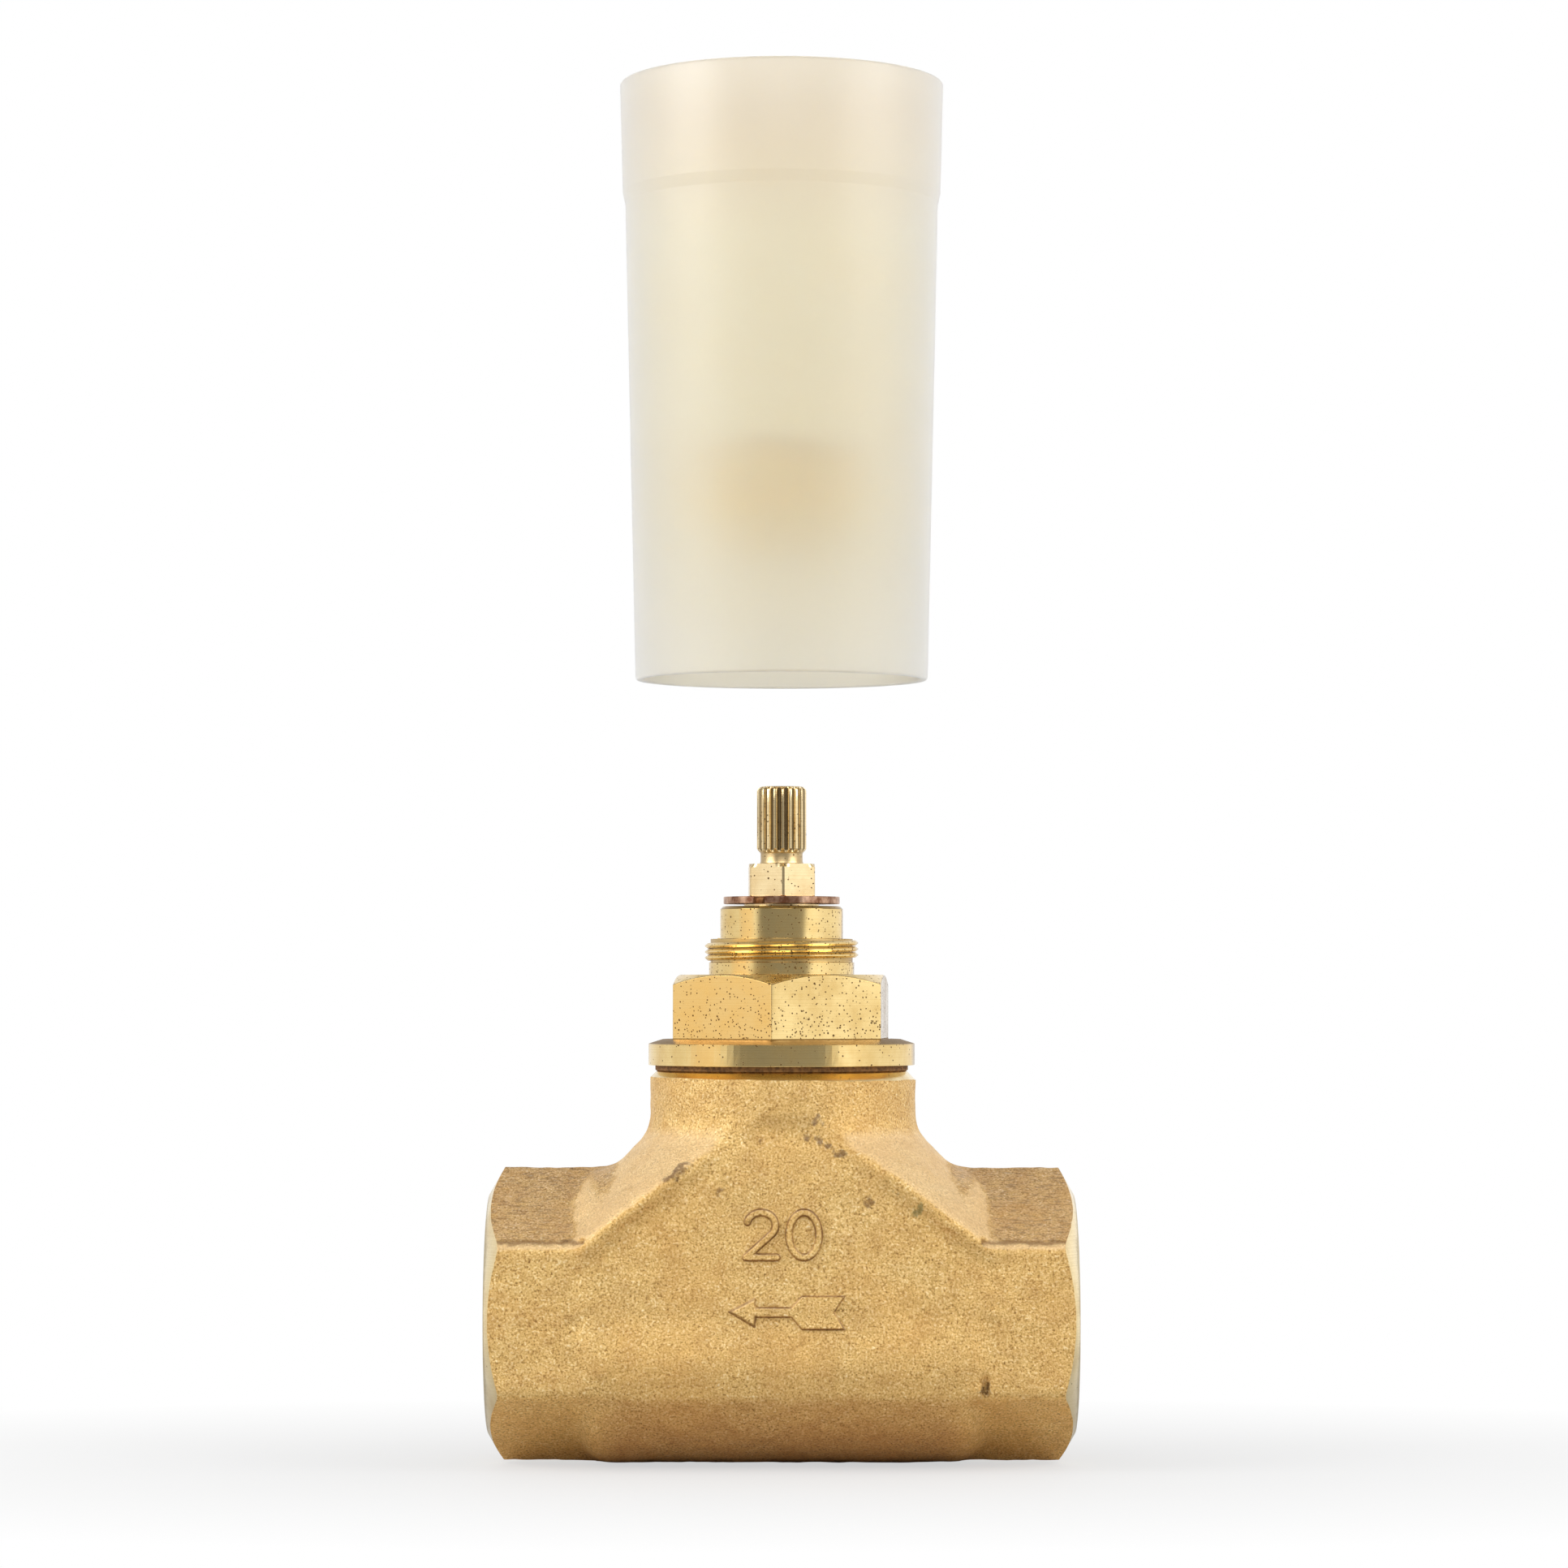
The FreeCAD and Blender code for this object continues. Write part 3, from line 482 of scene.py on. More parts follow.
def milky_plastic(name, light, dark, clearness, zones=()):
    """Natural polyethylene: translucent, with faint flow clouds and a soft satin skin.

    A zone gives the height where another tone starts, the height where it is full, and that tone.
    """
    material, tree, shader = start_material(name)
    here = add(tree, "TexCoord").outputs["Object"]
    cloud = noise(tree, here, 14.0, 3.0)
    colour = ramp(tree, cloud, [(0.3, dark), (0.7, light)])
    height = add(tree, "SeparateXYZ", Vector=here).outputs[2]
    for start, full, tone in zones:
        colour = mix(tree, fade(tree, height, start * MM, full * MM), colour, tone)
    bump = add(tree, "Bump", Height=noise(tree, here, 1.4, 2.0), Strength=0.08, Distance=0.05 * MM)
    rough = grade(tree, cloud, [(0.3, 0.4), (0.7, 0.46)])
    connect(tree, shader, Base_Color=colour, Roughness=rough, Normal=bump.outputs[0])
    for socket, value in (("Subsurface Weight", 0.8), ("Subsurface Radius", (0.8, 0.8, 0.7)),
                          ("Subsurface Scale", 3.0 * MM), ("Transmission Weight", clearness), ("IOR", 1.45),
                          ("Sheen Weight", 1.0), ("Sheen Roughness", 0.6), ("Coat Weight", 1.0),
                          ("Coat Roughness", 0.6), ("Coat IOR", 1.55)):
        shader.inputs[socket].default_value = value
    return material


def clear_plastic():
    """The same plastic where it is too thin to look milky."""
    material, tree, shader = start_material("clear_plastic")
    here = add(tree, "TexCoord").outputs["Object"]
    cloud = noise(tree, here, 9.0, 2.0)
    colour = ramp(tree, cloud, [(0.3, srgb(252, 248, 238)), (0.7, srgb(255, 252, 246))])
    rough = grade(tree, cloud, [(0.3, 0.3), (0.7, 0.4)])
    connect(tree, shader, Base_Color=colour, Roughness=rough)
    shader.inputs["Alpha"].default_value = 0.15
    return material


# Surfaces


def grid_faces(rows, columns, wrap_rows=True, wrap_columns=True):
    """Quads over a lattice of rows by columns, closed in either direction if asked."""
    row = np.arange(rows if wrap_rows else rows - 1)[:, None]
    column = np.arange(columns if wrap_columns else columns - 1)[None, :]
    next_row = (row + 1) % rows
    next_column = (column + 1) % columns
    corners = [row * columns + column, next_row * columns + column,
               next_row * columns + next_column, row * columns + next_column]
    return np.stack([corner.ravel() for corner in np.broadcast_arrays(*corners)], axis=1)


def make_piece(name, points, faces, materials, smooth_degrees=32):
    """A mesh object at the origin from points in millimetres; doubles are merged and faces turned out."""
    mesh = bpy.data.meshes.new(name)
    mesh.vertices.add(len(points))
    mesh.vertices.foreach_set("co", (np.asarray(points) * MM).ravel())
    mesh.loops.add(faces.size)
    mesh.loops.foreach_set("vertex_index", faces.astype(np.int32).ravel())
    mesh.polygons.add(len(faces))
    mesh.polygons.foreach_set("loop_start", np.arange(len(faces), dtype=np.int32) * faces.shape[1])
    mesh.update(calc_edges=True)
    return finish_piece(name, mesh, materials, smooth_degrees)


def finish_piece(name, mesh, materials, smooth_degrees=32):
    """Merges doubles, turns faces out and smooths up to that angle; each face keeps its finish."""
    work = bmesh.new()
    work.from_mesh(mesh)
    bmesh.ops.remove_doubles(work, verts=work.verts, dist=0.0005 * MM)
    bmesh.ops.dissolve_degenerate(work, edges=work.edges, dist=0.0002 * MM)
    bmesh.ops.recalc_face_normals(work, faces=work.faces)
    work.to_mesh(mesh)
    work.free()
    finish = np.zeros(len(mesh.polygons), dtype=np.int32)
    mesh.polygons.foreach_get("material_index", finish)
    mesh.materials.clear()
    for material in materials:
        mesh.materials.append(material)
    mesh.polygons.foreach_set("material_index", np.minimum(finish, len(materials) - 1))
    mesh.shade_smooth()
    mesh.set_sharp_from_angle(angle=np.radians(smooth_degrees))
    piece = bpy.data.objects.new(name, mesh)
    bpy.context.scene.collection.objects.link(piece)
    return piece


def round_axis(radius, angle, along, about="Z", centre=0.0):
    """Points at a radius and an angle round the Z axis, or round a line along X at the height centre."""
    across, up = radius * np.cos(angle), radius * np.sin(angle)
    level = np.broadcast_to(along, across.shape)
    order = (across, up, level) if about == "Z" else (level, across, up + centre)
    return np.stack(order, axis=-1).reshape(-1, 3)


def turned(name, profile, materials, about="Z", centre=0.0, steps=144):
    """Surface of revolution: a closed profile of (radius, place along the axis) carried round that axis."""
    radius, along = np.array(profile, float).T
    angle = np.arange(steps)[:, None] * (2 * np.pi / steps)
    points = round_axis(radius, angle, along, about, centre)
    return make_piece(name, points, grid_faces(steps, len(radius)), materials)


def rounded(corners, radius, arc_steps=5):
    """A closed outline whose corners are arcs of that radius, shortened where a side is short."""
    corners = np.array(corners, float)
    before = np.roll(corners, 1, axis=0) - corners
    after = np.roll(corners, -1, axis=0) - corners
    reach_before = np.linalg.norm(before, axis=1)
    reach_after = np.linalg.norm(after, axis=1)
    side_before = before / reach_before[:, None]
    side_after = after / reach_after[:, None]
    half_turn = np.arccos(np.clip(np.sum(side_before * side_after, axis=1), -1, 1)) / 2
    room = np.minimum(reach_before, reach_after) * 0.45
    trim = np.minimum(radius / np.tan(half_turn), room)
    share = np.linspace(0, 1, arc_steps)[None, :, None]
    start = (corners + side_before * trim[:, None])[:, None, :]
    end = (corners + side_after * trim[:, None])[:, None, :]
    knee = corners[:, None, :]
    weight = np.sin(half_turn)[:, None, None]
    blend = (1 - share) ** 2 + 2 * share * (1 - share) * weight + share ** 2
    arcs = ((1 - share) ** 2 * start + 2 * share * (1 - share) * weight * knee + share ** 2 * end) / blend
    return arcs.reshape(-1, 2)


def thread_ridge(name, root, crest, pitch, start, turns, materials, about="Z", centre=0.0, floor=0.0,
                 steps=96):
    """Thread: a flat-topped ridge carried round a helix, which grows out of the root at both ends.

    At turn t the ridge lies at start + pitch * t. Its groove's floor may stand off the root.
    """
    turn = np.linspace(0, turns, int(abs(turns) * steps) + 1)[:, None]
    growth = np.clip(np.minimum(turn, turns - turn) / THREAD_GROWTH, 0, 1)
    foot, floor_edge, top = THREAD_FOOT * pitch, THREAD_FLOOR * pitch, THREAD_TOP * pitch
    side = np.sign(root - crest)
    base = root + THREAD_BITE * side
    offset = np.array([-foot, -floor_edge, -top, top, floor_edge, foot])
    section = np.array([base, root - floor * side, crest, crest, root - floor * side, base])
    radius = base + (section - base) * growth
    level = start + pitch * turn + offset * np.ones_like(turn)
    points = round_axis(radius, 2 * np.pi * turn, level, about, centre)
    strip = grid_faces(len(turn), 6, wrap_rows=False)
    cap = np.array([[0, 1, 4, 5], [1, 2, 3, 4]])
    return make_piece(name, points, np.vstack([strip, cap, cap + len(points) - 6]), materials)


# The raw casting, as a field of distances that is then skinned


def soft_max(first, second, radius):
    """Greater of two fields, with the edge between them rounded over that radius."""
    return np.maximum(first, second) + np.maximum(radius - np.abs(first - second), 0) ** 2 / (4 * radius)


def soft_min(first, second, radius):
    """Lesser of two fields, with the corner between them filled over that radius."""
    return -soft_max(-first, -second, radius)


def smooth_step(value, start, end):
    """A share from 0 to 1 that starts and ends level: 3 s^2 - 2 s^3."""
    share = np.clip((value - start) / (end - start), 0, 1)
    return share * share * (3 - 2 * share)


def lumps(axes, size, seed):
    """Smooth noise from -1 to 1: random values on a lattice of that size, blended along each axis."""
    count = 96
    field = np.random.default_rng(seed).uniform(-1, 1, (count, count, count))
    for axis, places in enumerate(axes):
        scaled = places / size + count / 2
        low = np.floor(scaled).astype(int)
        share = smooth_step(scaled - low, 0, 1)
        share = share.reshape([-1 if other == axis else 1 for other in range(3)])
        below = np.take(field, low % count, axis=axis)
        above = np.take(field, (low + 1) % count, axis=axis)
        field = below * (1 - share) + above * share
    return field


def arch_field(x, z):
    """Outline of the front panel: a round arch that runs tangent into straight haunches."""
    foot_x, foot_z = ARCH_FOOT[0], ARCH_FOOT[1] - ARCH_RISE
    lean = np.arctan2(foot_z, foot_x) + np.arccos(ARCH_RADIUS / np.hypot(foot_x, foot_z))
    above = z - ARCH_RISE
    crown = np.hypot(x, above) - ARCH_RADIUS
    haunch = np.abs(x) * np.cos(lean) + above * np.sin(lean) - ARCH_RADIUS
    over_crown = np.arctan2(np.abs(x), above) < np.pi / 2 - lean
    outline = np.where(over_crown, crown, haunch)
    return np.maximum(np.maximum(outline, np.abs(x) - ARCH_FOOT[0]), -PANEL_DROP - z)


def casting_field(x, y, z):
    """Distance to the casting's skin, negative inside, with heights counted from the pipe axis.

    A hexagon and a round belly lie along the pipe. A neck stands on a bell that flares at 45
    degrees and is cut to a slab, and a panel is sunk into the slab's two faces.
    """
    side = np.abs(y)
    soft_side = np.hypot(y, HEX_CREST)
    slant = soft_side * 0.5 + np.abs(z) * 0.75 ** 0.5
    prism = soft_max(side, slant, HEX_EDGE_BLEND) - HEX_FLAT
    hexagon = np.maximum(prism, np.abs(x) - HALF_LENGTH - SPARE_METAL)
    round_pipe = np.hypot(y, z)
    belly_end = (np.abs(x) - BELLY_HALF + round_pipe - BELLY) / 2 ** 0.5
    belly = soft_max(round_pipe - BELLY, belly_end, BELLY_END_BLEND)
    belly = np.maximum(belly, np.abs(x) - HALF_LENGTH)
    barrel = soft_min(hexagon, belly, BARREL_BLEND)

    core_x = x - CORE_SHIFT
    round_neck = np.hypot(core_x, y)
    top = z - (NECK_TOP - AXIS) - SPARE_METAL
    cone = (round_neck - NECK + z - FLARE_START) / 2 ** 0.5
    flare = soft_max(cone, round_neck - FLARE_FOOT, FLARE_FOOT_BLEND)
    shoulder = soft_max(np.maximum(flare, top), side - SHOULDER_HALF, SLAB_BLEND)
    shoulder = np.maximum(shoulder, -z)
    neck = np.maximum(np.maximum(round_neck - NECK, top), -z)
    blank = soft_min(barrel, soft_min(shoulder, neck, NECK_BLEND), SHOULDER_BLEND)

    floor = PANEL_DEPTH + PANEL_SWELL * smooth_step(-z, *PANEL_SWELL_SPAN)
    panel = soft_max(arch_field(core_x, z), floor - side, PANEL_EDGE_BLEND)
    blank = soft_max(blank, -panel, PANEL_RIM_BLEND)

    # A mould step leaves a crease along the hexagons' upper front and rear edges
    crease = CREASE_RADIUS - np.hypot(side - HEX_FLAT + CREASE_INSET, z - HEX_EDGE - CREASE_LIFT)
    crease = crease - CREASE_FILL * smooth_step(-np.abs(x), *CREASE_FADE)
    blank = soft_max(blank, crease, CREASE_BLEND)

    # A cold shut beside the belly's end: a hollow ellipsoid
    shares = [((place - middle) / reach) ** 2
              for place, middle, reach in zip((x, y, z), FLAW_MIDDLE, FLAW_REACH)]
    return soft_max(blank, 1 - np.sqrt(sum(shares)), FLAW_BLEND)


def skin(field, low, step):
    """Surface nets: a point in each cell that the zero level crosses, at the mean of the crossings
    on the cell's edges, and a quad round each grid edge whose ends lie on opposite sides."""
    cells = tuple(length - 1 for length in field.shape)
    total = np.zeros((*cells, 3))
    count = np.zeros(cells)
    crossings = []
    for axis in range(3):
        near = np.take(field, np.arange(field.shape[axis] - 1), axis=axis)
        far = np.take(field, np.arange(1, field.shape[axis]), axis=axis)
        crossed = (near < 0) != (far < 0)
        share = np.where(crossed, near / np.where(crossed, near - far, 1), 0)
        crossings.append((crossed, near < 0))
        first, second = [other for other in range(3) if other != axis]
        for step_first in (0, 1):
            for step_second in (0, 1):
                window = [slice(None)] * 3
                window[first] = slice(step_first, step_first + cells[first])
                window[second] = slice(step_second, step_second + cells[second])
                hit = crossed[tuple(window)]
                count += hit
                total[..., axis] += share[tuple(window)]
                total[..., first] += hit * step_first
                total[..., second] += hit * step_second
    used = count > 0
    index = np.full(cells, -1)
    index[used] = np.arange(used.sum())
    points = low + step * (np.argwhere(used) + total[used] / count[used][:, None])
    quads = []
    for axis, (crossed, inward) in enumerate(crossings):
        first, second = (axis + 1) % 3, (axis + 2) % 3
        edge = np.argwhere(crossed)
        facing = inward[crossed]
        ring = []
        for back_first, back_second in ((1, 1), (0, 1), (0, 0), (1, 0)):
            cell = edge.copy()
            cell[:, first] -= back_first
            cell[:, second] -= back_second
            ring.append(index[tuple(cell.T)])
        quad = np.stack(ring, axis=1)
        quads.append(np.where(facing[:, None], quad, quad[:, ::-1]))
    return points, np.vstack(quads)


def cut(blank, cutters):
    """Takes the cutters away from a blank, each cut keeping its cutter's own finish."""
    for cutter in cutters:
        modifier = blank.modifiers.new(cutter.name, "BOOLEAN")
        modifier.operation = "DIFFERENCE"
        modifier.solver = "MANIFOLD"
        modifier.object = cutter
    layer = bpy.context.evaluated_depsgraph_get()
    mesh = bpy.data.meshes.new_from_object(blank.evaluated_get(layer))
    materials = list(blank.data.materials)
    for spent in (blank, *cutters):
        bpy.data.objects.remove(spent)
    return mesh, materials


def end_cutter(name, sign, materials):
    """What the lathe takes off one end: the port with its countersink, the end face and its bevel."""
    outside = HEX_FLAT * 1.5
    profile = [(0, SHELF), (PORT_BORE, SHELF), (PORT_BORE, HALF_LENGTH - PORT_MOUTH),
               (PORT_BORE + PORT_MOUTH, HALF_LENGTH), (PORT_FACE, HALF_LENGTH),
               (outside, HALF_LENGTH - (outside - PORT_FACE) * BEVEL_SLOPE),
               (outside, HALF_LENGTH + CUTTER_CLEAR), (0, HALF_LENGTH + CUTTER_CLEAR)]
    return turned(name, [(radius, sign * along) for radius, along in profile], materials, "X", AXIS, 192)


def neck_cutter(materials):
    """What is bored from above: the seat, the chamber, the headwork's thread and the neck's top."""
    top = NECK_TOP - AXIS
    outside = NECK * 1.4
    chamfered = NECK - NECK_CHAMFER
    profile = [(0, INLET_WAY[1]), (SEAT_BORE, INLET_WAY[1]), (SEAT_BORE, SEAT_HEIGHT),
               (SEAT_RING, SEAT_HEIGHT), (SEAT_RING, CHAMBER_FLOOR), (CHAMBER, CHAMBER_FLOOR),
               (CHAMBER, CHAMBER_TOP), (NECK_BORE, CHAMBER_TOP), (NECK_BORE, top), (chamfered, top),
               (outside, top - (outside - chamfered)), (outside, top + CUTTER_CLEAR),
               (0, top + CUTTER_CLEAR)]
    return turned("neck_bore", [(radius, along + AXIS) for radius, along in profile], materials, steps=192)


def way_cutter(name, way, materials):
    """A straight drilled way along the pipe, above or below its axis."""
    radius, rise, start, end = way
    profile = [(0, start), (radius, start), (radius, end), (0, end)]
    return turned(name, profile, materials, "X", AXIS + rise, 96)


def rough_casting(axes):
    """The casting's field over a lattice, with the sand's lumps and grain, on a flat lowest line."""
    x, y, z = np.meshgrid(*axes, indexing="ij", sparse=True)
    sand = sum(height * lumps(axes, size, seed) for seed, (height, size) in enumerate(SAND, 1))
    return np.maximum(casting_field(x, y, z) + sand + SAND_SINK, LOWEST_LINE - AXIS - z)


def make_cast_body(cast, machined):
    """The casting's skin over a lattice a little larger than it, machined at its ends and neck."""
    reach = (HALF_LENGTH + 2, SHOULDER_HALF + 1.5)
    low = np.array([-reach[0], -reach[1], -AXIS - 1])
    high = np.array([reach[0], reach[1], NECK_TOP - AXIS + SPARE_METAL + 3])
    axes = [np.arange(start, end, SKIN_STEP) for start, end in zip(low, high)]
    points, faces = skin(rough_casting(axes), low, SKIN_STEP)
    materials = [cast, machined]
    blank = make_piece("casting", points + [0, 0, AXIS], faces, materials)
    cutters = [end_cutter("inlet_turning", 1, materials), end_cutter("outlet_turning", -1, materials),
               neck_cutter(materials), way_cutter("inlet_drill", INLET_WAY, materials),
               way_cutter("outlet_drill", OUTLET_WAY, materials)]
    for cutter in cutters:
        polygons = cutter.data.polygons
        polygons.foreach_set("material_index", np.ones(len(polygons), dtype=np.int32))
    mesh, materials = cut(blank, cutters)
    body = finish_piece("cast_body", mesh, materials, 38)
    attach(body, "valve")
    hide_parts("valve_body")


def make_pipe_threads(machined):
    """Right-hand pipe threads in both ports, cut from the mouth inwards."""
    turns = int((PORT_DEPTH - 1.5) / PIPE_PITCH)
    for name, sign in (("inlet_thread", 1), ("outlet_thread", -1)):
        start = sign * (HALF_LENGTH - PORT_MOUTH - 0.6 * PIPE_PITCH)
        ridge = thread_ridge(name, PORT_BORE, PORT_BORE - PIPE_THREAD_DEPTH, -sign * PIPE_PITCH, start,
                             turns, [machined], "X", AXIS)
        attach(ridge, "valve")


def make_escutcheon_thread(material):
    """Fine right-hand thread above the big hexagon."""
    half = (THREAD_LENGTH - 0.5 * ESCUTCHEON_PITCH) / 2
    crest = THREAD_CORE + ESCUTCHEON_DEPTH
    turns = 2 * half / ESCUTCHEON_PITCH
    ridge = thread_ridge("escutcheon_thread", THREAD_CORE, crest, ESCUTCHEON_PITCH, THREAD_MIDDLE - half,
                         turns, [material], floor=ESCUTCHEON_FLOOR)
    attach(ridge, "valve")


def edge_broken(node, body, material, width=0.08):
    """A merged copy of a CAD node with its sharp edges broken, which stands for the node."""
    mesh = frame["nodes"][node].data.copy()
    piece = finish_piece(f"{node}_finished", mesh, [material], SHARP)
    bevel = piece.modifiers.new("edge_break", "BEVEL")
    bevel.width = width * MM
    bevel.segments = 2
    bevel.limit_method = "ANGLE"
    bevel.angle_limit = np.radians(SHARP)
    weighted = piece.modifiers.new("even_normals", "WEIGHTED_NORMAL")
    weighted.weight = 90
    weighted.keep_sharp = True
    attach(piece, body)
    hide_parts(node)
    return piece


def make_spindle(material):
    """The CAD spindle up to its hexagon, and its end above that as one surface round the axis.

    The end's radius at each row is the least of the row's own and of its section's: the hexagon's is
    flat / cos(angle from the flat), and a tooth's is the root's plus a smooth step of
    (1 + cos(teeth * angle)) / 2 up to the land.
    """
    top = node_box("spindle")[1][2]
    foot = top - SPLINE_LENGTH
    hex_top = foot - SPINDLE_NECK_LENGTH
    hex_base = hex_top - SPINDLE_HEX_LENGTH
    shaft = edge_broken("spindle", "spindle_set", material)
    work = bmesh.new()
    work.from_mesh(shaft.data)
    parted = bmesh.ops.bisect_plane(work, geom=[*work.verts, *work.edges, *work.faces], clear_outer=True,
                                    plane_co=(0, 0, (hex_base - 0.05) * MM), plane_no=(0, 0, 1))
    rim = [part for part in parted["geom_cut"] if isinstance(part, bmesh.types.BMEdge)]
    bmesh.ops.edgeloop_fill(work, edges=rim)
    work.to_mesh(shaft.data)
    work.free()

    # Rows of height and largest radius, with chamfers and small fillets
    hex_corner = SPINDLE_FLAT / np.cos(np.radians(SPINDLE_HEX_CORNER))
    hex_rows = [(hex_base - 0.1, 0.0), (hex_base - 0.1, 3.0), (hex_base, 3.0), (hex_base, hex_corner - 0.1),
                (hex_base + 0.1, hex_corner), (hex_base + 0.2, hex_corner), (hex_top - 0.48, hex_corner),
                (hex_top - 0.4, hex_corner), (hex_top, hex_corner - 0.36)]
    neck_rows = [(hex_top, SPINDLE_NECK + 0.3), (hex_top + 0.1, SPINDLE_NECK + 0.09),
                 (hex_top + 0.35, SPINDLE_NECK), (foot - 0.15, SPINDLE_NECK),
                 (foot + 0.05, SPINDLE_NECK + 0.1)]
    spline_rows = [(foot + 0.3, 3.0), (foot + 0.5, SPLINE_LAND), (foot + 2.5, SPLINE_LAND),
                   (top - 2.5, SPLINE_LAND), (top - 0.55, SPLINE_LAND), (top - 0.3, 3.02),
                   (top - 0.1, 2.84), (top, 2.64), (top, 0.0)]
    height, limit = np.array(hex_rows + neck_rows + spline_rows).T
    turn = np.arange(360)[:, None]
    off_flat = np.radians(np.mod(turn, 60) - 30)
    hexagon = SPINDLE_FLAT / np.cos(off_flat) * np.ones((1, len(hex_rows)))
    neck = np.full((360, len(neck_rows)), SPLINE_LAND)
    wave = 0.5 + 0.5 * np.cos(np.radians(SPLINE_TEETH * turn))
    rise = (SPLINE_LAND - SPLINE_ROOT) * smooth_step(wave, 0.08, 0.85)
    tooth = SPLINE_ROOT + rise * np.ones((1, len(spline_rows)))
    radius = np.minimum(np.hstack([hexagon, neck, tooth]), limit)
    points = round_axis(radius, np.radians(turn + SPINDLE_TURN - 90), height)
    faces = grid_faces(360, len(height), wrap_columns=False)
    end = make_piece("spindle_end", points, faces, [material], SHARP)
    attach(end, "spindle_set")
    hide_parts("spindle")


def make_guard(wall, web_skin, collar_skin):
    """The sleeve as one turned wall with rounded edges, and a turned web with a collar below it."""
    rim, top = guard_foot[2], guard_head[2]
    step = top - GUARD_BAND_HEIGHT
    web = rim + WEB_LIFT
    slope = (GUARD_STEP - GUARD_RIM) / (step - rim)
    under_web = GUARD_RIM + slope * WEB_LIFT - GUARD_ROOT_WALL
    sleeve = [(GUARD_RIM - GUARD_RIM_WALL, rim), (GUARD_RIM, rim), (GUARD_STEP, step - GUARD_STEP_DROP),
              (GUARD_BAND, step + GUARD_STEP_RISE), (guard_head[0], top),
              (guard_head[0] - GUARD_BAND_WALL, top), (under_web, web)]
    rim_of_web = under_web - WEB_CLEARANCE
    web_section = [(rim_of_web, web), (rim_of_web, web + WEB_THICKNESS), (WEB_HOLE, web + WEB_THICKNESS),
                   (WEB_HOLE, web), (COLLAR_BORE, web), (COLLAR_BORE, web - COLLAR_DROP),
                   (COLLAR, web - COLLAR_DROP), (COLLAR, web)]
    pieces = (turned("plaster_sleeve", rounded(sleeve, GUARD_EDGE), [wall], steps=192),
              turned("sleeve_web", rounded(web_section, WEB_EDGE), [web_skin, collar_skin], steps=144))
    polygons = pieces[1].data.polygons
    centres = np.zeros(len(polygons) * 3)
    polygons.foreach_get("center", centres)
    reach = np.hypot(*centres.reshape(-1, 3)[:, :2].T) / MM
    polygons.foreach_set("material_index", (reach < COLLAR + 0.4).astype(np.int32))
    for piece in pieces:
        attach(piece, "guard")
        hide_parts("plaster_guard")


def path_distance(x, z, corners, closed=False):
    """Distance from each lattice place to a path of straight sides, the least over all the sides."""
    start = np.array(corners, float)
    end = np.roll(start, -1, axis=0)
    if not closed:
        start, end = start[:-1], end[:-1]
    side = end - start
    from_start = np.stack(np.broadcast_arrays(x, z), axis=-1)[..., None, :] - start
    share = np.clip(np.sum(from_start * side, axis=-1) / np.sum(side * side, axis=-1), 0, 1)
    return np.linalg.norm(from_start - share[..., None] * side, axis=-1).min(axis=-1)


def inside_path(x, z, corners):
    """Whether each lattice place lies inside a closed path.

    It does if a level line from it crosses the path an odd number of times.
    """
    start = np.array(corners, float)
    end = np.roll(start, -1, axis=0)
    place_x, place_z = x[..., None], z[..., None]
    spans = (start[:, 1] > place_z) != (end[:, 1] > place_z)
    rise = np.where(spans, end[:, 1] - start[:, 1], 1)
    crossing = start[:, 0] + (place_z - start[:, 1]) * (end[:, 0] - start[:, 0]) / rise
    return np.sum(spans & (place_x < crossing), axis=-1) % 2 == 1


def raised_sign(name, low, high, stand_off, material):
    """A cast sign on the front panel, over a lattice of (x, z) places between two corners.

    Each place takes the depth at which the casting's own skin lies there and stands off it by
    stand_off(x, z); where that is nothing the sheet dips below the skin. A back sheet closes it.
    The attribute draft_wall is greatest half way up the sign's sloping sides, where the cast material
    paints shade on them.
    """
    axes = [np.arange(low[0], high[0], SIGN_STEP),
            np.arange(-SHOULDER_HALF - 1, -HEX_FLAT + 2.5, SIGN_STEP),
            np.arange(low[1], high[1], SIGN_STEP) - AXIS]
    field = rough_casting(axes)
    first = np.argmax(field < 0, axis=1)[:, None, :]
    within = np.take_along_axis(field, first, axis=1)
    without = np.take_along_axis(field, first - 1, axis=1)
    depth = (axes[1][first] - SIGN_STEP * within / (within - without))[:, 0, :]
    x, z = np.meshgrid(axes[0], axes[2] + AXIS, indexing="ij")
    rise = stand_off(x, z)
    front = depth + SIGN_DIP - rise - SIGN_DIP * np.clip(rise / 0.15, 0, 1)
    sheets = [np.stack([x, y, z], axis=-1).reshape(-1, 3) for y in (front, depth + SIGN_ROOT)]
    rows, columns = x.shape
    sheet = grid_faces(rows, columns, False, False)
    index = np.arange(rows * columns).reshape(rows, columns)
    border = np.concatenate([index[0, :-1], index[:-1, -1], index[-1, :0:-1], index[:0:-1, 0]])
    following = np.roll(border, -1)
    back = rows * columns
    wall = np.stack([border, following, following + back, border + back], axis=1)
    sign = make_piece(name, np.vstack(sheets), np.vstack([sheet, sheet + back, wall]), [material])
    places = np.zeros(len(sign.data.vertices) * 3)
    sign.data.vertices.foreach_get("co", places)
    places = places.reshape(-1, 3) / MM
    share = np.clip(stand_off(places[:, 0], places[:, 2]) / SIGN_HEIGHT, 0, 1)
    draft_wall = sign.data.attributes.new("draft_wall", "FLOAT", "POINT")
    draft_wall.data.foreach_set("value", 4 * share * (1 - share))
    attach(sign, "valve")


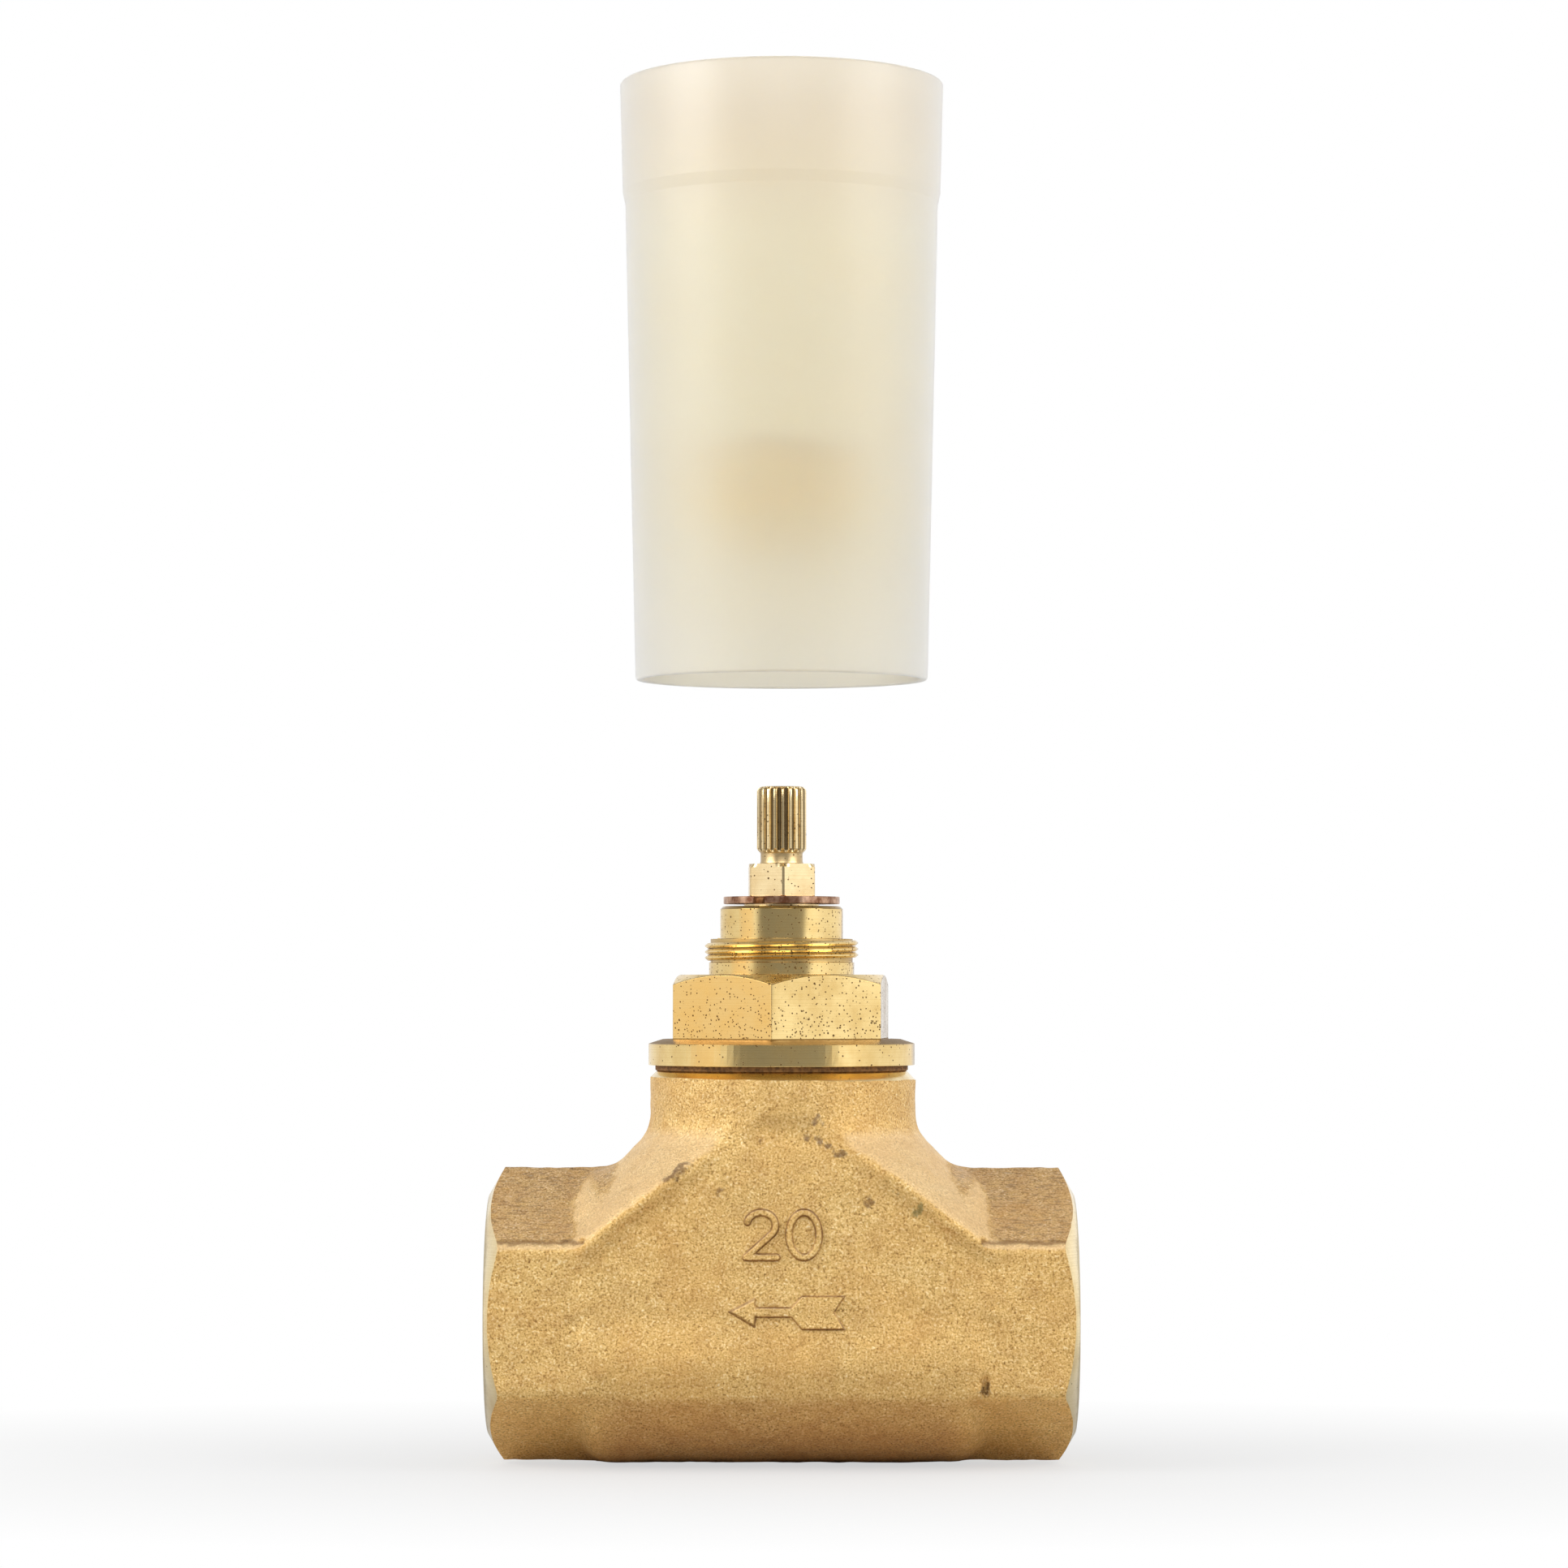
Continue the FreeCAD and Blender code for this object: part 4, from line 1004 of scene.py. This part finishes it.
def arrow_stand_off(x, z):
    """A flat arrow with draught on its sides; its head is a ridge that falls off to both edges."""
    edge = np.where(inside_path(x, z, ARROW), 1, -1) * path_distance(x, z, ARROW, True)
    flat = SIGN_HEIGHT * smooth_step(edge, -0.12, 0.22)
    ridge = np.clip(0.12 + 0.85 * edge, 0, 1.1 * SIGN_HEIGHT) * smooth_step(edge, -0.12, 0.1)
    return np.where(x < ARROW_HEAD_END, ridge, flat)


def size_stand_off(x, z):
    """The size's two numerals as strokes of one width: a hook on a foot, and an upright oval."""
    turn = np.radians(np.linspace(165, -35, 24))
    hook = np.stack([-2.5 + 1.75 * np.cos(turn), 30.5 + 1.6 * np.sin(turn)], axis=1)
    two = np.vstack([hook, [(-4.35, 26.6), (-0.6, 26.6)]])
    round_turn = np.linspace(0, 2 * np.pi, 48, endpoint=False)
    nought = np.stack([2.75 + 1.85 * np.cos(round_turn), 29.35 + 2.75 * np.sin(round_turn)], axis=1)
    edge = STROKE_HALF - np.minimum(path_distance(x, z, two), path_distance(x, z, nought, True))
    return SIGN_HEIGHT * smooth_step(edge, -0.15, 0.25)


def make_signs(cast):
    """The flow arrow and, above it, the size's numerals."""
    raised_sign("flow_arrow", (-7.4, 17.0), (8.6, 22.7), arrow_stand_off, cast)
    raised_sign("size_numerals", (-5.4, 25.4), (5.7, 33.3), size_stand_off, cast)


# Studio


def make_studio():
    """White walls at the sides and behind, a dimmer ceiling and camera side, and three softboxes."""
    scene = bpy.context.scene
    scene.view_settings.view_transform = "Standard"
    world = bpy.data.worlds.new("studio")
    scene.world = world
    world.use_nodes = True
    tree = world.node_tree
    background = next(node for node in tree.nodes if node.type == "BACKGROUND")
    direction = add(tree, "TexCoord").outputs["Generated"]
    compass = add(tree, "SeparateXYZ", Vector=direction).outputs
    toward_front = compute(tree, "MULTIPLY", compass[1], -1.0)
    walls = grade(tree, toward_front, [(0.1, 1.0), (0.45, 1.15), (0.65, 1.15), (0.76, 0.3)])
    ceiling = grade(tree, compass[2], [(0.4, 1.0), (0.85, 0.5)])
    across = compute(tree, "MULTIPLY_ADD", compass[0], 0.5, 0.5)
    sides = grade(tree, across, [(0.2, 0.9), (0.8, 1.08)])
    room = mix(tree, 1.0, mix(tree, 1.0, walls, ceiling, "MULTIPLY"), sides, "MULTIPLY")
    seen = add(tree, "LightPath").outputs["Is Camera Ray"]
    tree.links.new(mix(tree, seen, room, grey(1.0)), background.inputs["Color"])

    corners = np.array([(-3000, -260, 0), (3000, -260, 0), (3000, 3000, 0), (-3000, 3000, 0)])
    floor = make_piece("floor", corners, np.array([[0, 1, 2, 3]]), [pale_floor()])

    for name, place, size, power in LAMPS:
        light = bpy.data.lights.new(name, "AREA")
        light.shape = "RECTANGLE"
        light.size, light.size_y = size
        light.energy = power
        lamp = bpy.data.objects.new(name, light)
        lamp.location = place
        aim = Vector((0, 0, 0.08)) - lamp.location
        lamp.rotation_euler = aim.to_track_quat("-Z", "Y").to_euler()
        scene.collection.objects.link(lamp)


def pale_floor():
    """White to the camera and in reflections, apart from the object's shadow; pale to other light."""
    material, tree, shader = start_material("pale_floor")
    output = next(node for node in tree.nodes if node.type == "OUTPUT_MATERIAL")
    here = add(tree, "TexCoord").outputs["Object"]
    colour = ramp(tree, noise(tree, here, 40.0), [(0.3, grey(0.5)), (0.7, grey(0.52))])
    connect(tree, shader, Base_Color=colour)
    shader.inputs["Roughness"].default_value = 0.7
    path = add(tree, "LightPath").outputs
    mirrored = compute(tree, "MAXIMUM", path["Is Glossy Ray"], path["Is Transmission Ray"])
    glow = add(tree, "Emission", Color=grey(1.0), Strength=1.0)
    away = vector(tree, "LENGTH", vector(tree, "MULTIPLY", here, (0.55, 1.0, 1.0)))
    to_camera = fade(tree, away, 0.015, 0.1, 0.6, 1.0)
    to_metal = fade(tree, away, 0.03, 0.2)
    share = compute(tree, "ADD", compute(tree, "MULTIPLY", path["Is Camera Ray"], to_camera),
                    compute(tree, "MULTIPLY", mirrored, to_metal))
    blend = add(tree, "MixShader", _0=share, _1=shader.outputs[0], _2=glow.outputs[0])
    tree.links.new(blend.outputs[0], output.inputs["Surface"])
    return material


def make_camera():
    """The photograph's viewpoint: square to the front and looking slightly up."""
    camera_data = bpy.data.cameras.new("camera")
    camera_data.sensor_width = SENSOR
    camera_data.lens = LENS
    camera_data.clip_start = 0.01
    camera = bpy.data.objects.new("camera", camera_data)
    camera.location = Vector(EYE) * MM
    aim = Vector(AIM) * MM - camera.location
    camera.rotation_euler = aim.to_track_quat("-Z", "Y").to_euler()
    bpy.context.scene.collection.objects.link(camera)
    bpy.context.scene.camera = camera


cast_brass = sand_cast_brass()
bright_brass = turned_brass("machined_brass", srgb(242, 220, 168), srgb(206, 170, 104), 0.08)
headwork_brass = turned_brass("headwork_brass", srgb(240, 212, 148), srgb(206, 166, 92), 0.9, HEADWORK_SHADE,
                              BONNET_FLAT_LIGHT)
spindle_brass = turned_brass("spindle_brass", srgb(246, 222, 172), srgb(190, 152, 94), 0.4, SPLINE_SHADE)
copper = plain_material("dull_copper", srgb(214, 174, 144), srgb(118, 78, 56), 1.6, 0.3, 0.02, 1.0)
fibre = plain_material("fibre_gasket", srgb(146, 102, 52), srgb(90, 60, 30), 0.6, 0.8, 0.04)
black_rubber = plain_material("black_rubber", srgb(40, 40, 40), srgb(24, 24, 24), 1.2, 0.55, 0.01)
white_slip = plain_material("white_slip_plastic", srgb(236, 234, 228), srgb(222, 220, 214), 3.0, 0.35,
                            0.005)
# The wall's top band is greyer, and below the collar the wall is made paler with painted light
wall_plastic = milky_plastic("milky_plastic", srgb(255, 246, 223), srgb(255, 243, 217), 0.75,
                             [(152.0, 168.0, srgb(239, 228, 207)), (120.0, 101.0, srgb(255, 249, 232))])
web_plastic = clear_plastic()
# The collar's deep yellow is painted shade, which shows through the wall as a darker, warmer patch
collar_shaded_plastic = milky_plastic("milky_plastic_collar", srgb(255, 222, 122), srgb(255, 216, 112), 0.0)

make_cast_body(cast_brass, bright_brass)
make_signs(cast_brass)
make_pipe_threads(bright_brass)
edge_broken("bonnet", "valve", headwork_brass, 0.06)
make_escutcheon_thread(headwork_brass)
make_spindle(spindle_brass)
edge_broken("snap_ring", "spindle_set", copper)
edge_broken("bonnet_gasket", "valve", fibre, 0.1)
make_guard(wall_plastic, web_plastic, collar_shaded_plastic)

for node, material in (("slip_ring", white_slip), ("spindle_o_ring_upper", black_rubber),
                       ("spindle_o_ring_lower", black_rubber), ("plug_o_ring", black_rubber),
                       ("seat_washer", black_rubber), ("valve_plug", headwork_brass),
                       ("washer_plate", bright_brass), ("washer_screw", bright_brass)):
    frame["nodes"][node].data.materials.clear()
    frame["nodes"][node].data.materials.append(material)

make_studio()
make_camera()
